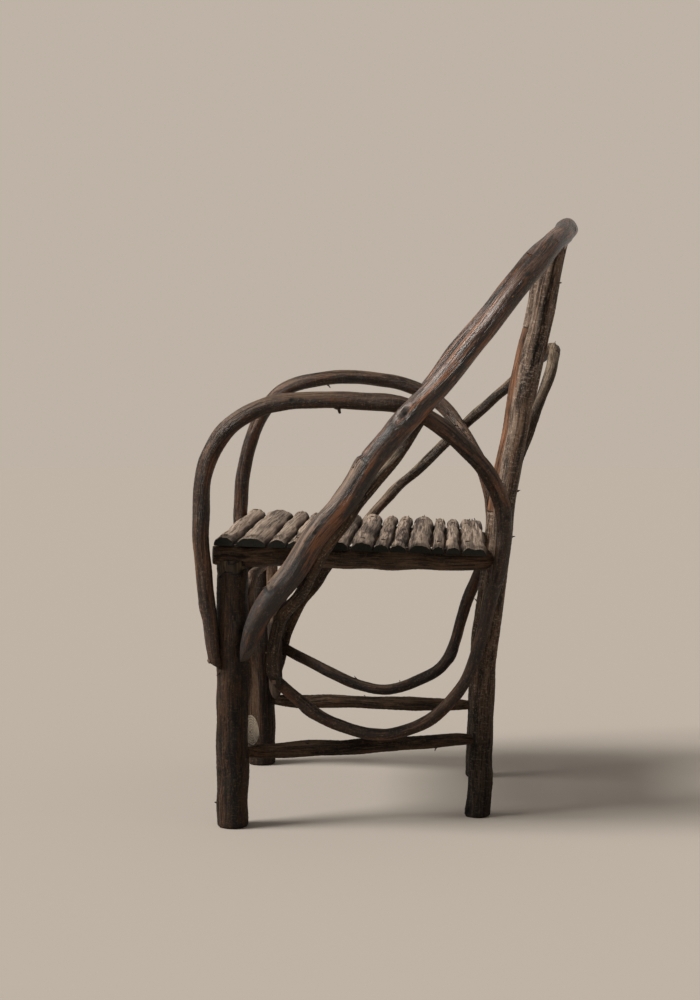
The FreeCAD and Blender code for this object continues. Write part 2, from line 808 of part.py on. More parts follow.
def side_rail(name, side):
    """A seat rail that lies on its front leg, runs past it as a nose and is tenoned into the post."""
    label = "seat_side_rail_" + name
    nose_back = -value("side_rail_nose")
    start = place(side * rail_out(nose_back), nose_back, rail_height(nose_back))
    post_middle, member_radius, member_heading = post_member(name, rail_height(value("seat_run")))
    run = post_middle - start
    heading = FreeCAD.Vector(run).normalize()
    lean = abs(heading.dot(member_heading)) * value("side_rail_diameter") / 2
    stand = member_radius + value("seating_gap") + lean
    reach = enter_size(label + "_reach", run.Length - stand)
    tenon = length("rail_tenon_length")
    tenon_radius = length("rail_tenon_diameter") / 2

    def stations(grow):
        radius = length("side_rail_diameter") / 2
        between = reach - length("shoulder_bevel")
        rings = [(radius * thick + grow, between * along) for along, thick in SIDE_RAIL_SHARES]
        return rings + [(tenon_radius, reach), (tenon_radius, reach + tenon)]

    rail = whittled_stick(label, stations(NOTHING))
    room = whittled_stick(label + "_room", stations(length("seating_gap")))
    for stick in (rail, room):
        stick.Placement = stand_along(start, post_middle)
    depth = tenon + length("seating_gap") + length("overrun")
    mouth = post_middle - heading * (stand + value("overrun"))
    mortise = drill(label + "_mortise", tenon_radius, depth, mouth, heading)
    return rail, room, mortise


def seat_plane_tool(label, side):
    """A block on the plane of the slats' undersides, which planes the rail flat."""
    block = document.addObject("Part::Box", label)
    slope = math.degrees(math.atan(value("seat_drop") / value("seat_run")))
    block.setExpression("Length", (slat_length / 2).text)
    block.setExpression("Width", (length("seat_run") + length("side_rail_nose") * 2).text)
    block.setExpression("Height", length("overrun").text)
    near_out = 0 if side == LEFT else -slat_end_out
    near_back = -2 * value("side_rail_nose")
    block.Placement = FreeCAD.Placement(place(near_out, near_back, flat_seat(near_back)),
                                        FreeCAD.Rotation(OUTWARD, -slope))
    return block


def floor_block(label, side):
    """A block below the floor, which cuts a foot flat."""
    block = document.addObject("Part::Box", label)
    block.setExpression("Length", (length("post_diameter") * 2).text)
    block.setExpression("Width", (length("post_diameter") * 2).text)
    block.setExpression("Height", (length("post_diameter") * 2).text)
    foot = posts["left" if side == LEFT else "right"].points[0]
    wide = value("post_diameter")
    block.Placement = FreeCAD.Placement(FreeCAD.Vector(foot.x - wide, foot.y - wide, -2 * wide),
                                        FreeCAD.Rotation())
    return block


def front_leg(label, grow):
    """A front leg with a worn edge at its foot."""
    worn = length("leg_worn_edge")
    foot = length("leg_foot_diameter") / 2 + grow
    top = length("leg_top_diameter") / 2 + grow
    return whittled_stick(label, [(foot - worn, NOTHING), (foot, worn), (top, length("leg_height"))])


def bevel_block(label, side):
    """A block whose slanted face cuts the arch's foot away on its outer side."""
    block = document.addObject("Part::Box", label)
    girth = length("arch_diameter")
    for dimension in ("Length", "Width", "Height"):
        block.setExpression(dimension, (girth * ARCH_BEVEL_SHARE * 2).text)
    size = girth.number * ARCH_BEVEL_SHARE
    foot = arch.points[0 if side == LEFT else -1]
    tip = foot - OUTWARD * side * girth.number / 2
    tilt = math.degrees(math.atan(ARCH_BEVEL_SHARE))
    turned = FreeCAD.Rotation(BACKWARD, -side * tilt)
    corner = FreeCAD.Vector(-size, -size, -2 * size)
    block.Placement = FreeCAD.Placement(tip + turned.multVec(corner), turned)
    return block


# Slats: half-round poles laid flat side down. Widths are shares of the field that they fill; crests
# are shares of the thickness, two where a slat has a double ridge; reaches are shares of half the
# slats' length.
SLAT_WIDTH_SHARES = [0.08, 0.12, 0.07, 0.065, 0.08, 0.08, 0.09, 0.06, 0.06, 0.09, 0.05, 0.055, 0.1]
SLAT_CREST_SHARES = [(1.0,), (1.0,), (0.94,), (0.88,), (0.93,), (0.95,), (1.0,), (0.86,), (0.86,),
                     (0.98,), (0.82,), (0.84,), (0.88, 0.8)]
SLAT_REACH_SHARES = [1.0, 1.0, 0.995, 1.0, 0.99, 1.0, 0.98, 0.98, 0.975, 0.955, 0.95, 0.955, 0.965]
SLAT_VALLEY_SHARE = 0.66


def slat(index, front_edge):
    """One slat, its flat on the seat plane and its front lower edge at the given place."""
    label = "seat_slat_%02d" % (index + 1)
    body = document.addObject("PartDesign::Body", label + "_pole")
    sketch = new_sketch(body, label + "_profile", "YZ_Plane")
    width = length("slat_field") * SLAT_WIDTH_SHARES[index]
    edge = length("slat_edge")
    crests = SLAT_CREST_SHARES[index]
    ridge = width / len(crests)
    valley = length("slat_thickness") * SLAT_VALLEY_SHARE
    feet = [(width, edge), (width, NOTHING), (NOTHING, NOTHING), (NOTHING, edge)]
    points = [FreeCAD.Vector(across.number, up.number, 0) for across, up in feet]
    for before, after in zip(points, points[1:]):
        sketch.addGeometry(Part.LineSegment(before, after), False)
    lines = len(points) - 1
    for line in range(lines):
        if line:
            sketch.addConstraint(Sketcher.Constraint("Coincident", line - 1, 2, line, 1))
        pin(sketch, line, 1, feet[line])
    pin(sketch, lines - 1, 2, feet[-1])
    start = feet[-1]
    for turn, crest in enumerate(crests):
        last = turn == len(crests) - 1
        finish = feet[0] if last else (ridge * (turn + 1), valley)
        top = (ridge * (turn + 0.5), length("slat_thickness") * crest)
        corners = [FreeCAD.Vector(across.number, up.number, 0) for across, up in (start, top, finish)]
        # Three points give the arc from left to right; a sketch keeps it from right to left.
        arc = Part.Arc(*corners)
        geometry = sketch.addGeometry(arc, False)
        pin_arc(sketch, geometry, corners, start, top, finish)
        start = finish
    pad = body.newObject("PartDesign::Pad", label + "_length")
    pad.Profile = sketch
    pad.SideType = "Symmetric"
    pad.setExpression("Length", (slat_length * SLAT_REACH_SHARES[index]).text)
    slope = math.degrees(math.atan(value("seat_drop") / value("seat_run")))
    body.Placement = FreeCAD.Placement(place(0, front_edge, flat_seat(front_edge)),
                                       FreeCAD.Rotation(OUTWARD, -slope))
    return label, body, width.number, ridge.number / 2


def pin_arc(sketch, geometry, corners, start, top, finish):
    """Bind an arc's two ends and a point on its crest."""
    begins_left = sketch.getPoint(geometry, 1).isEqual(corners[0], value("seating_gap"))
    first, second = (start, finish) if begins_left else (finish, start)
    pin(sketch, geometry, 1, first)
    pin(sketch, geometry, 2, second)
    crest = sketch.addGeometry(Part.Point(corners[1]), True)
    pin(sketch, crest, 1, top)
    sketch.addConstraint(Sketcher.Constraint("PointOnObject", crest, 1, geometry))


def make_slats():
    front_edge = -value("slat_front_edge")
    slope = math.atan(value("seat_drop") / value("seat_run"))
    normal = FreeCAD.Vector(0, math.sin(slope), math.cos(slope))
    bodies = []
    for index in range(len(SLAT_WIDTH_SHARES)):
        label, body, width, ridge_back = slat(index, front_edge)
        crest = value("slat_thickness") * SLAT_CREST_SHARES[index][0]
        middle = front_edge + ridge_back
        for name, side in SIDES.items():
            surface = place(side * rail_out(middle), middle, flat_seat(middle)) + normal * crest
            drive_nail("slat_nails", surface, normal, crest + value("nail_bite"),
                       [label, "seat_side_rail_" + name])
        bodies.append((label, body))
        front_edge += width + value("slat_gap")
    return bodies


place_frame_nails()
slat_bodies = make_slats()


def room_of(sapling, name, other, other_name):
    """The room that one sapling takes from another."""
    return shaped("%s_room_in_%s" % (name, other_name), sapling.room(other.edge, max(other.radii)))


leg_rooms = {}
for name, side in SIDES.items():
    leg_rooms[name] = front_leg("front_leg_room_" + name, length("seating_gap"))
    leg_rooms[name].Placement.Base = leg_middle(side, 0)

front_rail, front_mortises = joined_stick(
    "seat_front_rail", length("front_rail_diameter"), length("rail_tenon_diameter"),
    length("rail_tenon_length"), CROSS_RAIL_SHARES,
    leg_member(LEFT, value("front_rail_height")), leg_member(RIGHT, value("front_rail_height")))
rear_rail, rear_mortises = joined_stick(
    "seat_rear_rail", length("rear_rail_diameter"), length("rail_tenon_diameter"),
    length("rail_tenon_length"), CROSS_RAIL_SHARES,
    post_member("left", value("rear_rail_height")), post_member("right", value("rear_rail_height")))
rear_stretcher, low_mortises = joined_stick(
    "rear_stretcher", length("stretcher_diameter"), length("stretcher_tenon_diameter"),
    length("stretcher_tenon_length"), RIGHT_STRETCHER_SHARES,
    post_member("left", value("rear_stretcher_height")), post_member("right", value("rear_stretcher_height")))

# The back's middle spindle stands in the rear rail and ends in the bow.
spindle_foot = (post_member("left", value("rear_rail_height"))[0]
                + post_member("right", value("rear_rail_height"))[0]) / 2
spindle_top = bow.crossing(OUTWARD, 0)
spindle_run = enter_size("spindle_run", (spindle_top - spindle_foot).Length)
spindle_radius = length("spindle_diameter") / 2
SPINDLE_FOOT_SHARE = 0.76
SPINDLE_SHARES = [(0.0, SPINDLE_FOOT_SHARE), (0.03, SPINDLE_FOOT_SHARE), (0.09, 0.95), (0.4, 1.0),
                  (0.75, 0.92), (1.0, 0.85)]
spindle = whittled_stick("back_spindle_middle", [(spindle_radius * thick, spindle_run * along)
                                                 for along, thick in SPINDLE_SHARES])
spindle.Placement = stand_along(spindle_foot, spindle_top)
spindle_heading = (spindle_top - spindle_foot).normalize()
spindle_socket = drill("back_spindle_socket", spindle_radius * SPINDLE_FOOT_SHARE,
                       length("rear_rail_diameter"),
                       spindle_foot - spindle_heading * value("seating_gap"), spindle_heading)
fasten("bow_nails", "back_bow", bow, "back_spindle_middle",
       spindle_top - spindle_heading * value("bow_diameter"))

for index, (name, side) in enumerate(SIDES.items()):
    low_leg = leg_member(side, value("stretcher_height"))
    low_post = post_member(name, value("stretcher_height") + value("stretcher_rise"))
    shares = LEFT_STRETCHER_SHARES if side == LEFT else RIGHT_STRETCHER_SHARES
    stretcher, side_mortises = joined_stick(
        "side_stretcher_" + name, length("stretcher_diameter"), length("stretcher_tenon_diameter"),
        length("stretcher_tenon_length"), shares, low_leg, low_post)
    finish_piece("side_stretcher_" + name, stretcher, [])

    rail, rail_room, rail_mortise = side_rail(name, side)
    finish_piece("seat_side_rail_" + name, rail, [seat_plane_tool("seat_plane_" + name, side)])

    leg = front_leg("front_leg_" + name, NOTHING)
    leg.Placement.Base = leg_middle(side, 0)
    finish_piece("front_leg_" + name, leg, [rail_room, front_mortises[index], side_mortises[0]])

    post = shaped("rear_post_sapling_" + name, posts[name].solid())
    finish_piece("rear_post_" + name, post,
                 [floor_block("floor_" + name, side),
                  room_of(bow, "back_bow", posts[name], "rear_post_" + name),
                  rail_mortise, rear_mortises[index], low_mortises[index], side_mortises[1]])

    hoop_name = "arm_hoop_" + name
    hoop = hoops[name]
    rooms = [leg_rooms[name], room_of(posts[name], "rear_post_" + name, hoop, hoop_name),
             room_of(bow, "back_bow", hoop, hoop_name)]
    if side == RIGHT:
        rooms.append(room_of(inner, "inner_back_hoop", hoop, hoop_name))
    finish_piece(hoop_name, shaped("arm_hoop_sapling_" + name, hoop.solid()), rooms)

finish_piece("seat_front_rail", front_rail, [])
finish_piece("seat_rear_rail", rear_rail, [spindle_socket])
finish_piece("rear_stretcher", rear_stretcher, [])
spindle_line = Part.makeLine(spindle_foot, spindle_top)
finish_piece("back_spindle_middle", spindle,
             [shaped("back_bow_room_in_spindle", bow.room(spindle_line, spindle_radius.number))])
finish_piece("back_bow", shaped("back_bow_sapling", bow.solid()), [leg_rooms["left"], leg_rooms["right"]])
finish_piece("bow_strut", shaped("bow_strut_sapling", strut.solid()),
             [room_of(hoops["left"], "arm_hoop_left", strut, "bow_strut"),
              room_of(bow, "back_bow", strut, "bow_strut")])
finish_piece("inner_back_hoop", shaped("inner_back_hoop_sapling", inner.solid()),
             [room_of(posts["left"], "rear_post_left", inner, "inner_back_hoop"),
              room_of(posts["right"], "rear_post_right", inner, "inner_back_hoop"),
              leg_rooms["right"]])
finish_piece("front_arch", shaped("front_arch_sapling", arch.solid()),
             [bevel_block("arch_bevel_left", LEFT), bevel_block("arch_bevel_right", RIGHT),
              leg_rooms["left"], leg_rooms["right"]])
for label, body in slat_bodies:
    finish_piece(label, body, [])
for label, group in nails.items():
    sub_parts.append(shaped(label, Part.Compound(group)))

document.recompute()

# Nothing is written before every object is sound.

faults = ["%s: %s" % (item.Label, item.getStatusString()) for item in document.Objects
          if "Invalid" in item.State or "Error" in item.State]
faults += ["%s: no sound shape" % piece.Label for piece in sub_parts
           if piece.Shape.isNull() or not piece.Shape.isValid()]
if faults:
    raise RuntimeError("\n".join(faults))

os.makedirs("parts", exist_ok=True)
for piece in sub_parts:
    piece.Shape.exportStep("parts/%s.step" % piece.Label)
    print("%-22s %3d solids %4d faces %10.0f mm3"
          % (piece.Label, len(piece.Shape.Solids), len(piece.Shape.Faces), piece.Shape.Volume))
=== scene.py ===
import math
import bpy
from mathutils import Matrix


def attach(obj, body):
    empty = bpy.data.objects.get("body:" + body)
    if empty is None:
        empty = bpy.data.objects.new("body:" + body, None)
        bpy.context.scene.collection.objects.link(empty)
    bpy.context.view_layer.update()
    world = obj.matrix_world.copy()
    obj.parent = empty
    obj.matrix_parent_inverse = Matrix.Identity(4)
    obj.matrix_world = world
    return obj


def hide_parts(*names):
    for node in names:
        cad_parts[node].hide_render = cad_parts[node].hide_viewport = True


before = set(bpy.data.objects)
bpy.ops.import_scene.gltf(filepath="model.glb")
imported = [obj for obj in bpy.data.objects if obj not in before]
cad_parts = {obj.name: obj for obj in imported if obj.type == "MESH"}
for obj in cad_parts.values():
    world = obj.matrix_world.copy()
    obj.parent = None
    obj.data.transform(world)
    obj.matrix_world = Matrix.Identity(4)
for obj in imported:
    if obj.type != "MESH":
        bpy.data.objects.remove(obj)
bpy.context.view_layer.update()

from types import SimpleNamespace
from typing import NamedTuple

import bpy
import numpy as np
from mathutils import Vector

# A rustic bentwood armchair, in metres: the same saplings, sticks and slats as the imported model, with
# their bark, knots and grain. +Z is up, the chair faces -Y and the sitter's left is +X. "back" is how
# far behind the front legs' line a thing stands.

SIZE = {
    "notch": 0.0015,
    "front_line": 0.2345,
    "leg_spread": 0.467,
    "leg_height": 0.404,
    "leg_foot_diameter": 0.048,
    "leg_top_diameter": 0.046,
    "seat_run": 0.4,
    "post_spread": 0.296,
    "post_diameter": 0.034,
    "post_rake": 0.114,
    "seat_height": 0.427,
    "seat_drop": 0.015,
    "side_rail_diameter": 0.034,
    "side_rail_nose": 0.027,
    "side_rail_flat": 0.001,
    "rail_tenon_diameter": 0.017,
    "front_rail_diameter": 0.027,
    "front_rail_height": 0.364,
    "rear_rail_diameter": 0.027,
    "rear_rail_height": 0.354,
    "slat_field": 0.386,
    "slat_gap": 0.0016,
    "slat_front_edge": 0.024,
    "slat_thickness": 0.014,
    "slat_edge": 0.003,
    "slat_overhang": 0.0245,
    "stretcher_diameter": 0.023,
    "stretcher_height": 0.111,
    "stretcher_rise": 0.009,
    "stretcher_tenon_diameter": 0.014,
    "rear_stretcher_height": 0.154,
    "spindle_diameter": 0.017,
    "hoop_diameter": 0.026,
    "arm_height": 0.643,
    "bow_diameter": 0.036,
    "crest_height": 0.906,
    "crest_rake": 0.108,
    "strut_diameter": 0.018,
    "inner_hoop_diameter": 0.017,
    "inner_crest_height": 0.719,
    "inner_crest_rake": 0.086,
    "arch_diameter": 0.024,
    "arch_height": 0.368,
    "arch_foot_height": 0.118,
}

LEFT = 1
RIGHT = -1
SIDES = {"left": LEFT, "right": RIGHT}
OUTWARD, BACKWARD, UPWARD = np.eye(3)
FULL_TURN = 2 * math.pi

# How finely the wood is meshed: from ring to ring, and round a stick
RING_STEP = 0.003
RING_SIDES = 32
SLAT_STEP = 0.004


def place(out, back, up):
    return np.array([out, back - SIZE["front_line"], up])


def blend(low, high, share):
    return low + share * (high - low)


def unit(vector):
    vector = np.asarray(vector, float)
    return vector / np.linalg.norm(vector, axis=-1, keepdims=True)


def window(value, low, high, edge):
    """1 between low and high, falling smoothly to 0 over an edge outside them."""
    rise = np.clip((value - low) / edge + 1, 0, 1)
    fall = np.clip((high - value) / edge + 1, 0, 1)
    share = np.minimum(rise, fall)
    return share * share * (3 - 2 * share)


# The camera of the photograph, whose frame is 700 by 1000 pixels

IMAGE_MIDDLE = (350, 500)
FOCAL_PIXELS = 2050
SENSOR = 36.0
IMAGE_HEIGHT = 1000
CAMERA_OUT = 3.2695
CAMERA_BACK = 0.3284
CAMERA_UP = 0.7239
CAMERA_PITCH = math.radians(4.324)
CAMERA_YAW = math.radians(2.848)

camera_place = place(CAMERA_OUT, CAMERA_BACK, CAMERA_UP)
camera_forward = np.array([-math.cos(CAMERA_YAW) * math.cos(CAMERA_PITCH),
                           -math.sin(CAMERA_YAW) * math.cos(CAMERA_PITCH),
                           -math.sin(CAMERA_PITCH)])
camera_right = unit(np.cross(camera_forward, UPWARD))
camera_top = np.cross(camera_right, camera_forward)


def seen_at(pixel, out):
    """The point that the photograph shows at a pixel, on the plane that far to the sitter's left."""
    across = (pixel[0] - IMAGE_MIDDLE[0]) / FOCAL_PIXELS
    down = (pixel[1] - IMAGE_MIDDLE[1]) / FOCAL_PIXELS
    ray = camera_forward + camera_right * across - camera_top * down
    return camera_place + ray * (out - camera_place[0]) / ray[0]


# Lines through listed stations

class Line:
    """A smooth line through points, by the length run along it."""

    def __init__(self, points):
        self.points = np.array(points, float)
        steps = np.linalg.norm(np.diff(self.points, axis=0), axis=1)
        self.knots = np.concatenate([[0.0], np.cumsum(steps)])
        self.length = self.knots[-1]
        self.slopes = self.find_slopes(steps)

    def find_slopes(self, steps):
        chords = np.diff(self.points, axis=0) / steps[:, None]
        if len(chords) == 1:
            return np.array([chords[0], chords[0]])
        count = len(self.points)
        matrix = np.zeros((count, count))
        wanted = np.zeros((count, 3))
        matrix[0, 0] = matrix[-1, -1] = 1
        wanted[0] = chords[0] + (chords[0] - chords[1]) * steps[0] / (steps[0] + steps[1])
        wanted[-1] = chords[-1] + (chords[-1] - chords[-2]) * steps[-1] / (steps[-1] + steps[-2])
        for row in range(1, count - 1):
            before, after = steps[row - 1], steps[row]
            matrix[row, row - 1:row + 2] = after, 2 * (before + after), before
            wanted[row] = 3 * (after * chords[row - 1] + before * chords[row])
        return np.linalg.solve(matrix, wanted)

    def span(self, along):
        index = np.clip(np.searchsorted(self.knots, along, side="right") - 1, 0, len(self.knots) - 2)
        step = self.knots[index + 1] - self.knots[index]
        share = (along - self.knots[index]) / step
        return index, step[..., None], share[..., None]

    def at(self, along):
        index, step, share = self.span(np.asarray(along, float))
        square, cube = share ** 2, share ** 3
        return ((2 * cube - 3 * square + 1) * self.points[index]
                + (cube - 2 * square + share) * step * self.slopes[index]
                + (3 * square - 2 * cube) * self.points[index + 1]
                + (cube - square) * step * self.slopes[index + 1])

    def heading(self, along):
        index, step, share = self.span(np.asarray(along, float))
        square = share ** 2
        return unit((6 * square - 6 * share) / step * (self.points[index] - self.points[index + 1])
                    + (3 * square - 4 * share + 1) * self.slopes[index]
                    + (3 * square - 2 * share) * self.slopes[index + 1])

    def walk(self):
        return np.linspace(0, self.length, max(2, round(self.length / RING_STEP)) + 1)

    def nearest(self, point):
        """How far along the line its nearest place to a point is."""
        steps = self.walk()
        return steps[np.argmin(np.linalg.norm(self.at(steps) - point, axis=1))]

    def crossing(self, axis, reach):
        """The first place where the line goes through a plane square to an axis."""
        steps = self.walk()
        beyond = self.at(steps) @ axis - reach
        first = np.nonzero(beyond[:-1] * beyond[1:] <= 0)[0][0]
        share = beyond[first] / (beyond[first] - beyond[first + 1])
        return self.at(blend(steps[first], steps[first + 1], share))


class Sapling:
    """A stick by its stations of place and diameter. It never runs along its side direction."""

    def __init__(self, stations, side):
        self.line = Line([point for point, diameter in stations])
        self.radii = np.array([diameter / 2 for point, diameter in stations])
        self.side = unit(side)

    def radius(self, along):
        return np.interp(along, self.line.knots, self.radii)


# The chair's lines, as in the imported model

leg_out = SIZE["leg_spread"] / 2
post_out = SIZE["post_spread"] / 2
leg_radius = SIZE["leg_top_diameter"] / 2
foot_radius = SIZE["leg_foot_diameter"] / 2
post_radius = SIZE["post_diameter"] / 2
hoop_radius = SIZE["hoop_diameter"] / 2
bow_radius = SIZE["bow_diameter"] / 2
strut_radius = SIZE["strut_diameter"] / 2
inner_radius = SIZE["inner_hoop_diameter"] / 2
slat_end_out = leg_out + SIZE["slat_overhang"]
bow_out = slat_end_out + strut_radius + bow_radius - SIZE["notch"]


def flat_seat(back):
    return SIZE["seat_height"] - SIZE["seat_drop"] * back / SIZE["seat_run"]


def leg_thickness(height):
    return blend(foot_radius, leg_radius, height / SIZE["leg_height"])


def beside_leg(side, diameter, turn, height):
    """The station where a sapling is let into the leg, at a turn from straight behind it outward."""
    apart = leg_thickness(height) + diameter / 2 - SIZE["notch"]
    angle = math.radians(turn)
    return place(side * (leg_out + apart * math.sin(angle)), apart * math.cos(angle), height), diameter


def stations(rows, girth, spot):
    """Stations from rows of shares: a thickness last, and before it what the spot function asks for."""
    return [(spot(*shares), girth * thick) for *shares, thick in rows]


# Half the bow: (way out, crest's reach behind the legs, crest's height, thickness)
BOW_SHARES = [
    (0.93, 0.076, 0.34, 0.86), (0.965, 0.13, 0.391, 1.0), (0.99, 0.19, 0.433, 1.02),
    (1.0, 0.262, 0.495, 1.0), (1.0, 0.342, 0.55, 1.0), (0.992, 0.417, 0.612, 1.0),
    (0.982, 0.515, 0.678, 1.02), (0.967, 0.637, 0.752, 0.92), (0.935, 0.768, 0.844, 0.9),
    (0.865, 0.852, 0.904, 0.87), (0.73, 0.908, 0.944, 0.87), (0.522, 0.954, 0.97, 0.88),
    (0.28, 0.984, 0.99, 0.9),
]
BOW_CREST_SHARES = (0.0, 1.0, 1.0, 0.92)
BOW_FOOT_SHARES = (0.297, 0.62)
BOW_FOOT_TURN = 36
# The right limb lies this far forward and up of the left one between arm and crest.
BOW_RIGHT_LEAN = (0.006, 0.0055)
BOW_LEAN_SHARES = (0.75, 0.945, 0.06)


def back_bow():
    reach = SIZE["seat_run"] + SIZE["crest_rake"]
    crest = SIZE["crest_height"]
    girth = SIZE["bow_diameter"]
    foot_up, foot_thick = BOW_FOOT_SHARES

    def half(side, rows):
        forward, lift = BOW_RIGHT_LEAN if side == RIGHT else (0, 0)

        def spot(out, back, up):
            lean = window(up, *BOW_LEAN_SHARES)
            return place(side * bow_out * out, reach * back - forward * lean, crest * up + lift * lean)

        return stations(rows, girth, spot)

    left_foot, right_foot = (beside_leg(side, girth * foot_thick, BOW_FOOT_TURN, crest * foot_up)
                             for side in (LEFT, RIGHT))
    limbs = half(LEFT, BOW_SHARES + [BOW_CREST_SHARES]) + half(RIGHT, BOW_SHARES[::-1])
    return Sapling([left_foot] + limbs + [right_foot], (0, crest, -reach))


# Rear post: (rake behind the seat's rear, crest's height, thickness)
REAR_POST_SHARES = [
    (-0.262, 0.0, 1.06), (-0.25, 0.02, 1.08), (-0.215, 0.165, 1.05), (-0.155, 0.285, 1.0),
    (-0.05, 0.385, 1.0), (0.0, 0.44, 0.98), (0.085, 0.54, 0.95), (0.23, 0.64, 0.92), (0.385, 0.755, 0.9),
    (0.585, 0.87, 0.89),
]
REAR_POST_TOP_SHARE = 0.86


def rear_post(side):
    girth, crest = SIZE["post_diameter"], SIZE["crest_height"]

    def spot(behind, up):
        return place(side * post_out, SIZE["seat_run"] + SIZE["post_rake"] * behind, crest * up)

    top = bow.line.crossing(OUTWARD, side * post_out), girth * REAR_POST_TOP_SHARE
    return Sapling(stations(REAR_POST_SHARES, girth, spot) + [top], OUTWARD)


# Inner back hoop: right leg (way out from the post to the slats' ends, crest's reach, its height,
# thickness), then the crest and left leg (posts' spread, and the rest alike)
INNER_FOOT_SHARES = (0.195, 0.9)
INNER_FOOT_TURN = 43
INNER_RIGHT_SHARES = [
    (0.93, 0.07, 0.26, 1.0), (0.96, 0.1, 0.332, 1.05), (0.98, 0.133, 0.376, 1.05),
    (1.0, 0.173, 0.415, 1.05), (1.02, 0.226, 0.467, 1.05), (1.03, 0.305, 0.532, 1.0),
    (1.02, 0.385, 0.592, 1.0), (0.99, 0.46, 0.648, 1.0), (0.91, 0.56, 0.715, 1.0),
    (0.79, 0.665, 0.781, 1.0), (0.65, 0.76, 0.843, 1.0), (0.43, 0.86, 0.907, 1.0), (0.3, 0.905, 0.935, 1.0),
]
INNER_LEFT_SHARES = [
    (-1.1, 0.948, 0.952, 1.0), (-0.92, 0.964, 0.966, 1.0), (-0.6, 0.984, 0.984, 1.0),
    (-0.25, 0.998, 0.998, 1.0), (0.1, 1.004, 1.0, 1.0), (0.36, 1.003, 0.99, 1.0), (0.56, 0.995, 0.966, 1.0),
    (0.7, 0.978, 0.932, 1.0), (0.79, 0.952, 0.885, 1.0), (0.83, 0.92, 0.83, 1.0), (0.85, 0.88, 0.76, 0.95),
    (0.852, 0.852, 0.67, 0.85),
]


def inner_back_hoop():
    reach = SIZE["seat_run"] + SIZE["inner_crest_rake"]
    height = SIZE["inner_crest_height"]
    girth = SIZE["inner_hoop_diameter"]
    edge_out = slat_end_out + inner_radius
    foot_up, foot_thick = INNER_FOOT_SHARES

    def right_spot(out, back, up):
        return place(RIGHT * blend(post_out, edge_out, out), reach * back, height * up)

    def left_spot(out, back, up):
        return place(post_out * out, reach * back, height * up)

    foot = beside_leg(RIGHT, girth * foot_thick, INNER_FOOT_TURN, height * foot_up)
    legs = stations(INNER_RIGHT_SHARES, girth, right_spot) + stations(INNER_LEFT_SHARES, girth, left_spot)
    return Sapling([foot] + legs, (0, height, -reach))


# Arm hoops: (way out: 0 at the post, 1 against the bow, 2 at the leg; seat's run, arm's height,
# thickness)
LEFT_HOOP_SHARES = [
    (2.0, -0.06, 0.385, 0.7), (2.0, -0.07, 0.46, 0.82), (2.4, -0.095, 0.575, 0.92),
    (2.8, -0.108, 0.73, 1.0), (2.8, -0.08, 0.86, 1.0), (2.5, -0.005, 0.934, 0.97), (2.0, 0.12, 0.984, 0.97),
    (1.5, 0.28, 1.0, 1.0), (1.1, 0.475, 0.998, 0.98), (1.0, 0.64, 0.985, 0.97), (0.86, 0.79, 0.935, 1.0),
    (0.48, 0.935, 0.845, 0.97), (0.02, 1.01, 0.745, 0.95), (0.0, 1.01, 0.63, 0.85),
    (0.0, 0.975, 0.525, 0.75), (0.04, 0.915, 0.4, 0.72), (0.2, 0.835, 0.3, 0.7), (0.38, 0.71, 0.235, 0.7),
    (0.52, 0.56, 0.213, 0.68), (0.59, 0.41, 0.235, 0.7), (0.63, 0.275, 0.285, 0.7),
    (0.64, 0.16, 0.345, 0.66),
]
RIGHT_HOOP_SHARES = [
    (2.0, -0.06, 0.385, 0.7), (2.0, -0.07, 0.46, 0.82), (2.4, -0.092, 0.6, 0.9), (2.8, -0.088, 0.72, 0.92),
    (2.8, -0.058, 0.845, 0.92), (2.5, -0.005, 0.93, 0.92), (2.0, 0.09, 1.003, 0.92),
    (1.6, 0.21, 1.03, 0.92), (1.25, 0.37, 1.041, 0.9), (1.08, 0.53, 1.033, 0.92), (1.02, 0.65, 1.013, 0.9),
    (0.93, 0.77, 0.97, 0.9), (0.54, 0.86, 0.905, 0.88), (0.14, 0.94, 0.815, 0.86),
    (-0.02, 0.99, 0.71, 0.84), (0.06, 0.982, 0.61, 0.8), (0.1, 0.93, 0.52, 0.75), (0.16, 0.875, 0.43, 0.74),
    (0.24, 0.835, 0.34, 0.72), (0.34, 0.78, 0.275, 0.7), (0.46, 0.67, 0.232, 0.7),
    (0.55, 0.545, 0.208, 0.7), (0.64, 0.41, 0.222, 0.7), (0.76, 0.27, 0.26, 0.7),
]
RIGHT_HOOP_END_SHARES = (0.312, 0.7)
HOOP_REAR_SHARE = 0.85
BOW_ARM_SHARE = 0.979


def arm_hoop(side, shares):
    forward = SIZE["seat_run"] * shares[0][1]
    apart = leg_radius + hoop_radius * shares[0][3] - SIZE["notch"]
    front_out = leg_out + math.sqrt(apart ** 2 - forward ** 2)
    arm_out = bow_out * BOW_ARM_SHARE - bow_radius - hoop_radius + SIZE["notch"]
    rear_out = post_out + post_radius + hoop_radius * HOOP_REAR_SHARE - SIZE["notch"]

    def spot(out, back, up):
        reach = blend(rear_out, arm_out, out) if out < 1 else blend(arm_out, front_out, out - 1)
        return place(side * reach, SIZE["seat_run"] * back, SIZE["arm_height"] * up)

    return stations(shares, SIZE["hoop_diameter"], spot)


def right_hoop():
    end_up, end_thick = RIGHT_HOOP_END_SHARES
    beside = inner.line.crossing(UPWARD, SIZE["arm_height"] * end_up)
    apart = hoop_radius * end_thick + inner_radius - SIZE["notch"]
    end = (beside - OUTWARD * RIGHT * apart, SIZE["hoop_diameter"] * end_thick)
    return Sapling(arm_hoop(RIGHT, RIGHT_HOOP_SHARES) + [end], OUTWARD)


